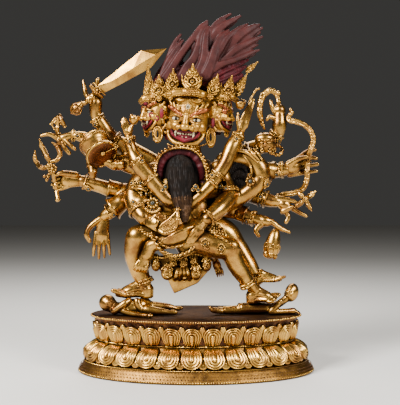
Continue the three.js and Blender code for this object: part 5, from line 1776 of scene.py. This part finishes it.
necklace = {
    "strings": [
        [(-17, 101, -3), (-12.6, 99.4, -7), (-5, 98.9, -9), (2.4, 99.8, -7), (8, 102, -3)],
        [(-30, 85.4, -3), (-27, 77, -6), (-21.6, 70.6, -7.6)],
        [(-33.6, 80, -4), (-31, 73, -6.4), (-24, 66.6, -8.6)],
        [(12, 88, -4), (17.6, 80, -5), (19, 73, -6)],
    ],
    "net": [(-32.6, 76.8), (-29, 79.6), (-30.2, 73.6), (-26.4, 76), (-33.4, 72.6), (-27.4, 71), (-36, 77)],
    "rosettes": [
        (-38.2, 75.2, -7.4, 1.9), (-33.2, 77.6, -7.8, 1.9), (17.9, 74.4, -7.8, 1.7),
        (32.5, 78.7, -4.4, 2.9), (32.1, 82.3, -4, 1.3),
    ],
    "breast": (-26, 65.6, -12),
    "chopper": [
        (-11.2, 61.8), (-10.8, 58), (-11.4, 54), (-12.6, 50.4), (-15.2, 48.2), (-18.6, 47.2), (-21.8, 49),
        (-22.4, 51.6), (-20.2, 54), (-16.8, 56.2), (-13.8, 59.2),
    ],
    "strap": [
        (-27.2, 47.6, -19), (-25.6, 44.4, -20.4), (-21.4, 38, -20.6), (-16.6, 34.8, -20.4),
        (-12.2, 34, -20.2), (-6, 36, -20), (-0.6, 39.4, -19),
    ],
    "innerStrap": [(-22.4, 42.6, -21), (-16.6, 39, -21.4), (-8, 40.6, -21), (-2.6, 44, -20)],
    "hem": [(7.6, 50, -17.6), (12.6, 46.4, -20.4), (18.6, 42.6, -22), (23, 39.6, -23)],
    "twine": [(-33.4, 50.4, -14), (-30, 47.4, -17), (-26.4, 46, -18.6), (-21, 43.4, -20)],
    "sash": [(-30, 56.6, -13), (-25.6, 57.4, -16), (-21, 57.8, -18), (-16.6, 56.6, -19)],
}


def twisted(bm, places, radius):  # a cord of two strands
    line = strung(places, 8)
    for strand in (0, math.pi):
        wound = []
        for i, point in enumerate(line):
            wound.append(point + around(*across(ahead(line, i)), strand + i * 0.9) * radius * 0.55 * mm)
        wire(bm, wound, radius * 0.62, 8)


def beadString(bm, places, radius, pitch):
    line = strung(places)
    wire(bm, line, radius * 0.5)
    beads(bm, line, radius, pitch)


def addBracelets(metal, stones):
    for place, towards, radius, gem in bracelets:
        bracelet(metal, stones, seen(*place), seen(*towards), radius, gem)
    for place, towards, radius in anklets:
        centre, axis = seen(*place), (seen(*towards) - seen(*place)).normalized()
        for step, reach, thick in ((-0.9, 0.2, 0.75), (0.9, 0, 0.65)):
            hoop(metal, centre + axis * step * mm, axis, radius + reach, thick, 30)
        beads(metal, ringLine(centre, axis, radius + 0.2, 30), 0.4, 1)


def addBreastJewels(metal, stones):
    for places in necklace["strings"]:
        beadString(metal, places, 0.62, 1.3)
    for x, z in necklace["net"]:
        tassel(metal, stones, seen(x, z, -8.4), 2.6, 0.5)
        hoop(metal, seen(x, z, -8.6), forward, 1.2, 0.35, 12)
    for x, z, depth, radius in necklace["rosettes"]:
        rosette(metal, stones, seen(x, z, depth), forward, radius, 8)
    centre = seen(*necklace["breast"])
    rosette(metal, stones, centre, forward, 3.4, 10)
    for i in range(9):
        turn = math.radians(200 + 17.5 * i)
        top = centre + Vector((math.cos(turn) * 3.2, 0, math.sin(turn) * 3.2)) * mm
        tassel(metal, None, top, 2.6, math.cos(turn))


def addChopper(metal):  # a crescent with a thick rim and a grained face
    plate(metal, necklace["chopper"], -19.4, 2)
    rim = [seen(x, z, -21) for x, z in necklace["chopper"][:7]]
    bar(metal, rim, [1.1] * len(rim), sides=10, flat=0.6)
    for i in range(110):
        turn, reach = i * 2.4, i ** 0.5
        along, side = math.cos(turn) * 0.5 * reach, math.sin(turn) * 0.24 * reach
        x, z = -16.4 + 0.77 * along - 0.64 * side, 52.4 + 0.64 * along + 0.77 * side
        bead(metal, seen(x, z, -21.4), 0.46)
    limb(metal, [(-11.6, 60.6, -20.6, 0.9), (-10.6, 62.4, -20.8, 0.8), (-9.2, 61.6, -21, 0.5)], sides=8)


def addStraps(metal):
    for name, radius in (("strap", 1.1), ("innerStrap", 0.7), ("twine", 1.1), ("sash", 0.9), ("hem", 0.8)):
        twisted(metal, necklace[name], radius)
    beadString(metal, [(x, z - 1.6, depth + 0.4) for x, z, depth in necklace["hem"]], 0.45, 1)
    beadString(metal, [(x + 0.6, z - 1.9, depth + 0.6) for x, z, depth in necklace["strap"]], 0.6, 1.2)


sleeves = {
    # place, place further down the arm, radius, radius of the flared mouth
    "mouths": [
        ((-41.6, 68.4, 5), (-50.2, 62, 5), 5.2, 7.6), ((-44, 72.8, 11), (-53, 74.4, 10), 5, 6.4),
        ((24, 60.6, 5.2), (30, 58.4, 4), 4.8, 6), ((33, 70.6, 7), (38.6, 69.2, 6), 5, 6.2),
        ((40.4, 86, 2.6), (45.4, 85, 6), 4.6, 6),
    ],
    "folds": [  # on the bent arm
        [(24, 97.4, -1.6, 0.8), (30.6, 95.8, -4.2, 1.1), (36.8, 90.4, -5.6, 0.8)],
        [(31, 98.6, -1.6, 0.9), (34.2, 95.4, -4.4, 1.3), (37.8, 91.4, -5.4, 0.7)],
        [(34.6, 98, -1.4, 0.7), (37.4, 95, -3.8, 1), (39.6, 91.6, -4.6, 0.6)],
        [(29.4, 93, -3.4, 0.6), (32.4, 88.6, -4.4, 0.9), (33.4, 83.4, -4.8, 0.6)],
    ],
}


def addSleeves(cloth, dark):
    for i in range(6):  # pleats of the skirt, fanned out over the thigh
        joints = [
            (11.4 + i * 0.5, 53.6 - i * 0.2, -12.6, 0.5), (8.8 + i * 1.7, 50.4 - i * 0.5, -15.4, 0.75),
            (9 + i * 2, 48.6 - i * 1.1, -17.4, 0.8),
        ]
        limb(cloth, joints, sides=8)
    for i in range(7):  # the striped sleeve of the hook arm
        centre = seen(24.6 + i * 2, 98.4 - i * 1.1 + 0.9, 9.4)
        hoop(cloth, centre, seen(30, 96, 9) - seen(24, 97, 9), 5.2, 0.55, 24)
    for place, towards, radius, reach in sleeves["mouths"]:
        profile = [
            (radius * 0.98, 0), (radius * 1.04, 0.4), (reach * 0.86, 0.86), (reach, 1),
            (reach * 0.93, 0.99), (radius * 0.9, 0.8),
        ]
        turned(cloth, profile, seen(*place), seen(*towards), 28)
    for i in range(12):  # a dark zigzag strip behind the bent arm is painted shade in the arm's loop
        x = 20.8 + i * 0.86
        top = 94.6 - 0.12 * (i - 6) ** 2
        joints = [(x + (0.6 if k % 2 else -0.4), top - k * 2.7, -0.6 + 0.5 * (k % 2), 0.8) for k in range(9)]
        limb(dark, joints, 3, sides=7)
    for joints in sleeves["folds"]:
        limb(cloth, joints, sides=10)


cups = {
    "places": [((-38, 112.8, -6), (-36.6, 118, -7)), ((26.2, 122, -4), (26.8, 127, -6))],  # foot, mouth
    "radius": 2.9,
    # shares of the radius and of the height
    "profile": [(0.3, 0), (0.8, 0.2), (1, 0.6), (1.04, 1), (0.84, 1), (0.8, 0.7), (0.5, 0.5)],
}


def addCups(metal, dark):  # the skull cups in the consort's hands
    radius = cups["radius"]
    for low, high in cups["places"]:
        start, end = seen(*low), seen(*high)
        turned(metal, [(radius * share, rise) for share, rise in cups["profile"]], start, end, 20)
        hoop(metal, end, end - start, radius, 0.4, 20)
        # a lamp-black ball in each cup's mouth is painted shade in its opening
        mass(dark, start.lerp(end, 0.78), (radius * 0.74,) * 3, detail=2)


def addThighJewels(metal, stones):
    limb(
        metal, [(31.6, 125.6, -3, 0.7), (34, 130.4, -3, 0.6), (36, 133.6, -3, 0.8), (37.8, 134.2, -3, 0.7)],
        sides=8,
    )
    for x, z, depth in ((5.4, 41.4, -22.6), (15.2, 38.2, -23.4)):  # the thigh's set stones
        hoop(metal, seen(x, z, depth), forward, 2.1, 0.45, 18, 1.3)
        rosette(metal, stones, seen(x, z - 0.4, depth - 0.2), forward, 1.5, 8)
    mass(metal, seen(7, 38, -22.8), (0.9, 0.9, 0.9), detail=2)
    # the hide's paw
    limb(metal, [(8, 38, -3, 2.2), (11, 32, -4, 2), (12.6, 28, -5, 2.6), (13.4, 25.6, -5.4, 2.2)], sides=12)
    for i in range(4):
        joints = [
            (11.6 + i * 1.2, 26.8 - i * 0.2, -6.6, 0.8), (12.4 + i * 1.2, 23.8 + i * 0.2, -7, 0.75),
            (13 + i * 1.1, 21.4 + i * 0.3, -6.8, 0.35),
        ]
        limb(metal, joints, sides=7)


def makeJewellery():
    metal, stones, cloth, dark = [bmesh.new() for _ in range(4)]
    addBracelets(metal, stones)
    addBreastJewels(metal, stones)
    addChopper(metal)
    addStraps(metal)
    addSleeves(cloth, dark)
    addCups(metal, dark)
    addThighJewels(metal, stones)
    return [
        newPiece("jewellery", metal, fireGilding),
        newPiece("jewellery_stones", stones, stoneGlass),
        newPiece("sleeves_and_pleats", cloth, fireGilding),
        newPiece("painted_shade_strip_and_cups", dark, hairPaint),
    ]


jewelPieces = makeJewellery()
for piece in jewelPieces:
    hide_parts("guardian_figure", "consort_figure")
report("jewellery", *jewelPieces)

# The studio
studio = {
    "floor": "#d8d4cc", "reach": 3,  # half the floor's size in metres
    "air": "#cfcdc8", "airStrength": 0.07,
    "lights": [  # place in mm, size in mm, power in W
        ((-420, -420, 520), 240, 15.4),
        ((420, -380, 420), 200, 5),
        ((0, 320, 520), 300, 2.5),
    ],
}


def makeStage():
    bm = bmesh.new()
    bmesh.ops.create_grid(bm, x_segments=1, y_segments=1, size=studio["reach"])
    mesh = bpy.data.meshes.new("floor")
    bm.to_mesh(mesh)
    bm.free()
    floor = bpy.data.objects.new("floor", mesh)
    bpy.context.scene.collection.objects.link(floor)
    material = bpy.data.materials.new("paleFloor")
    material.use_nodes = True
    shader = material.node_tree.nodes["Principled BSDF"]
    shader.inputs["Base Color"].default_value = tint(studio["floor"])
    shader.inputs["Roughness"].default_value = 0.8
    mesh.materials.append(material)
    target = Vector((0, 0, 100)) * mm
    for i, (place, size, power) in enumerate(studio["lights"]):
        lamp = bpy.data.lights.new(f"softBox{i}", "AREA")
        lamp.shape = "SQUARE"
        lamp.size = size * mm
        lamp.energy = power
        box = bpy.data.objects.new(lamp.name, lamp)
        box.location = Vector(place) * mm
        box.rotation_euler = (target - box.location).to_track_quat("-Z", "Y").to_euler()
        bpy.context.scene.collection.objects.link(box)
    world = bpy.data.worlds.new("studioAir")
    world.use_nodes = True
    air = world.node_tree.nodes["Background"]
    air.inputs["Color"].default_value = tint(studio["air"])
    air.inputs["Strength"].default_value = studio["airStrength"]
    bpy.context.scene.world = world


def makeCamera():
    lens = bpy.data.cameras.new("camera")
    lens.sensor_fit = "VERTICAL"
    lens.sensor_height = 36
    lens.lens = lens.sensor_height * eye["distance"] / eye["view"]
    lens.clip_start = 0.01
    camera = bpy.data.objects.new("camera", lens)
    camera.location = Vector((eye["across"], -eye["distance"], platformHeight + eye["height"])) * mm
    camera.rotation_euler = (math.radians(90), 0, 0)
    bpy.context.scene.collection.objects.link(camera)
    bpy.context.scene.camera = camera


makeStage()
makeCamera()
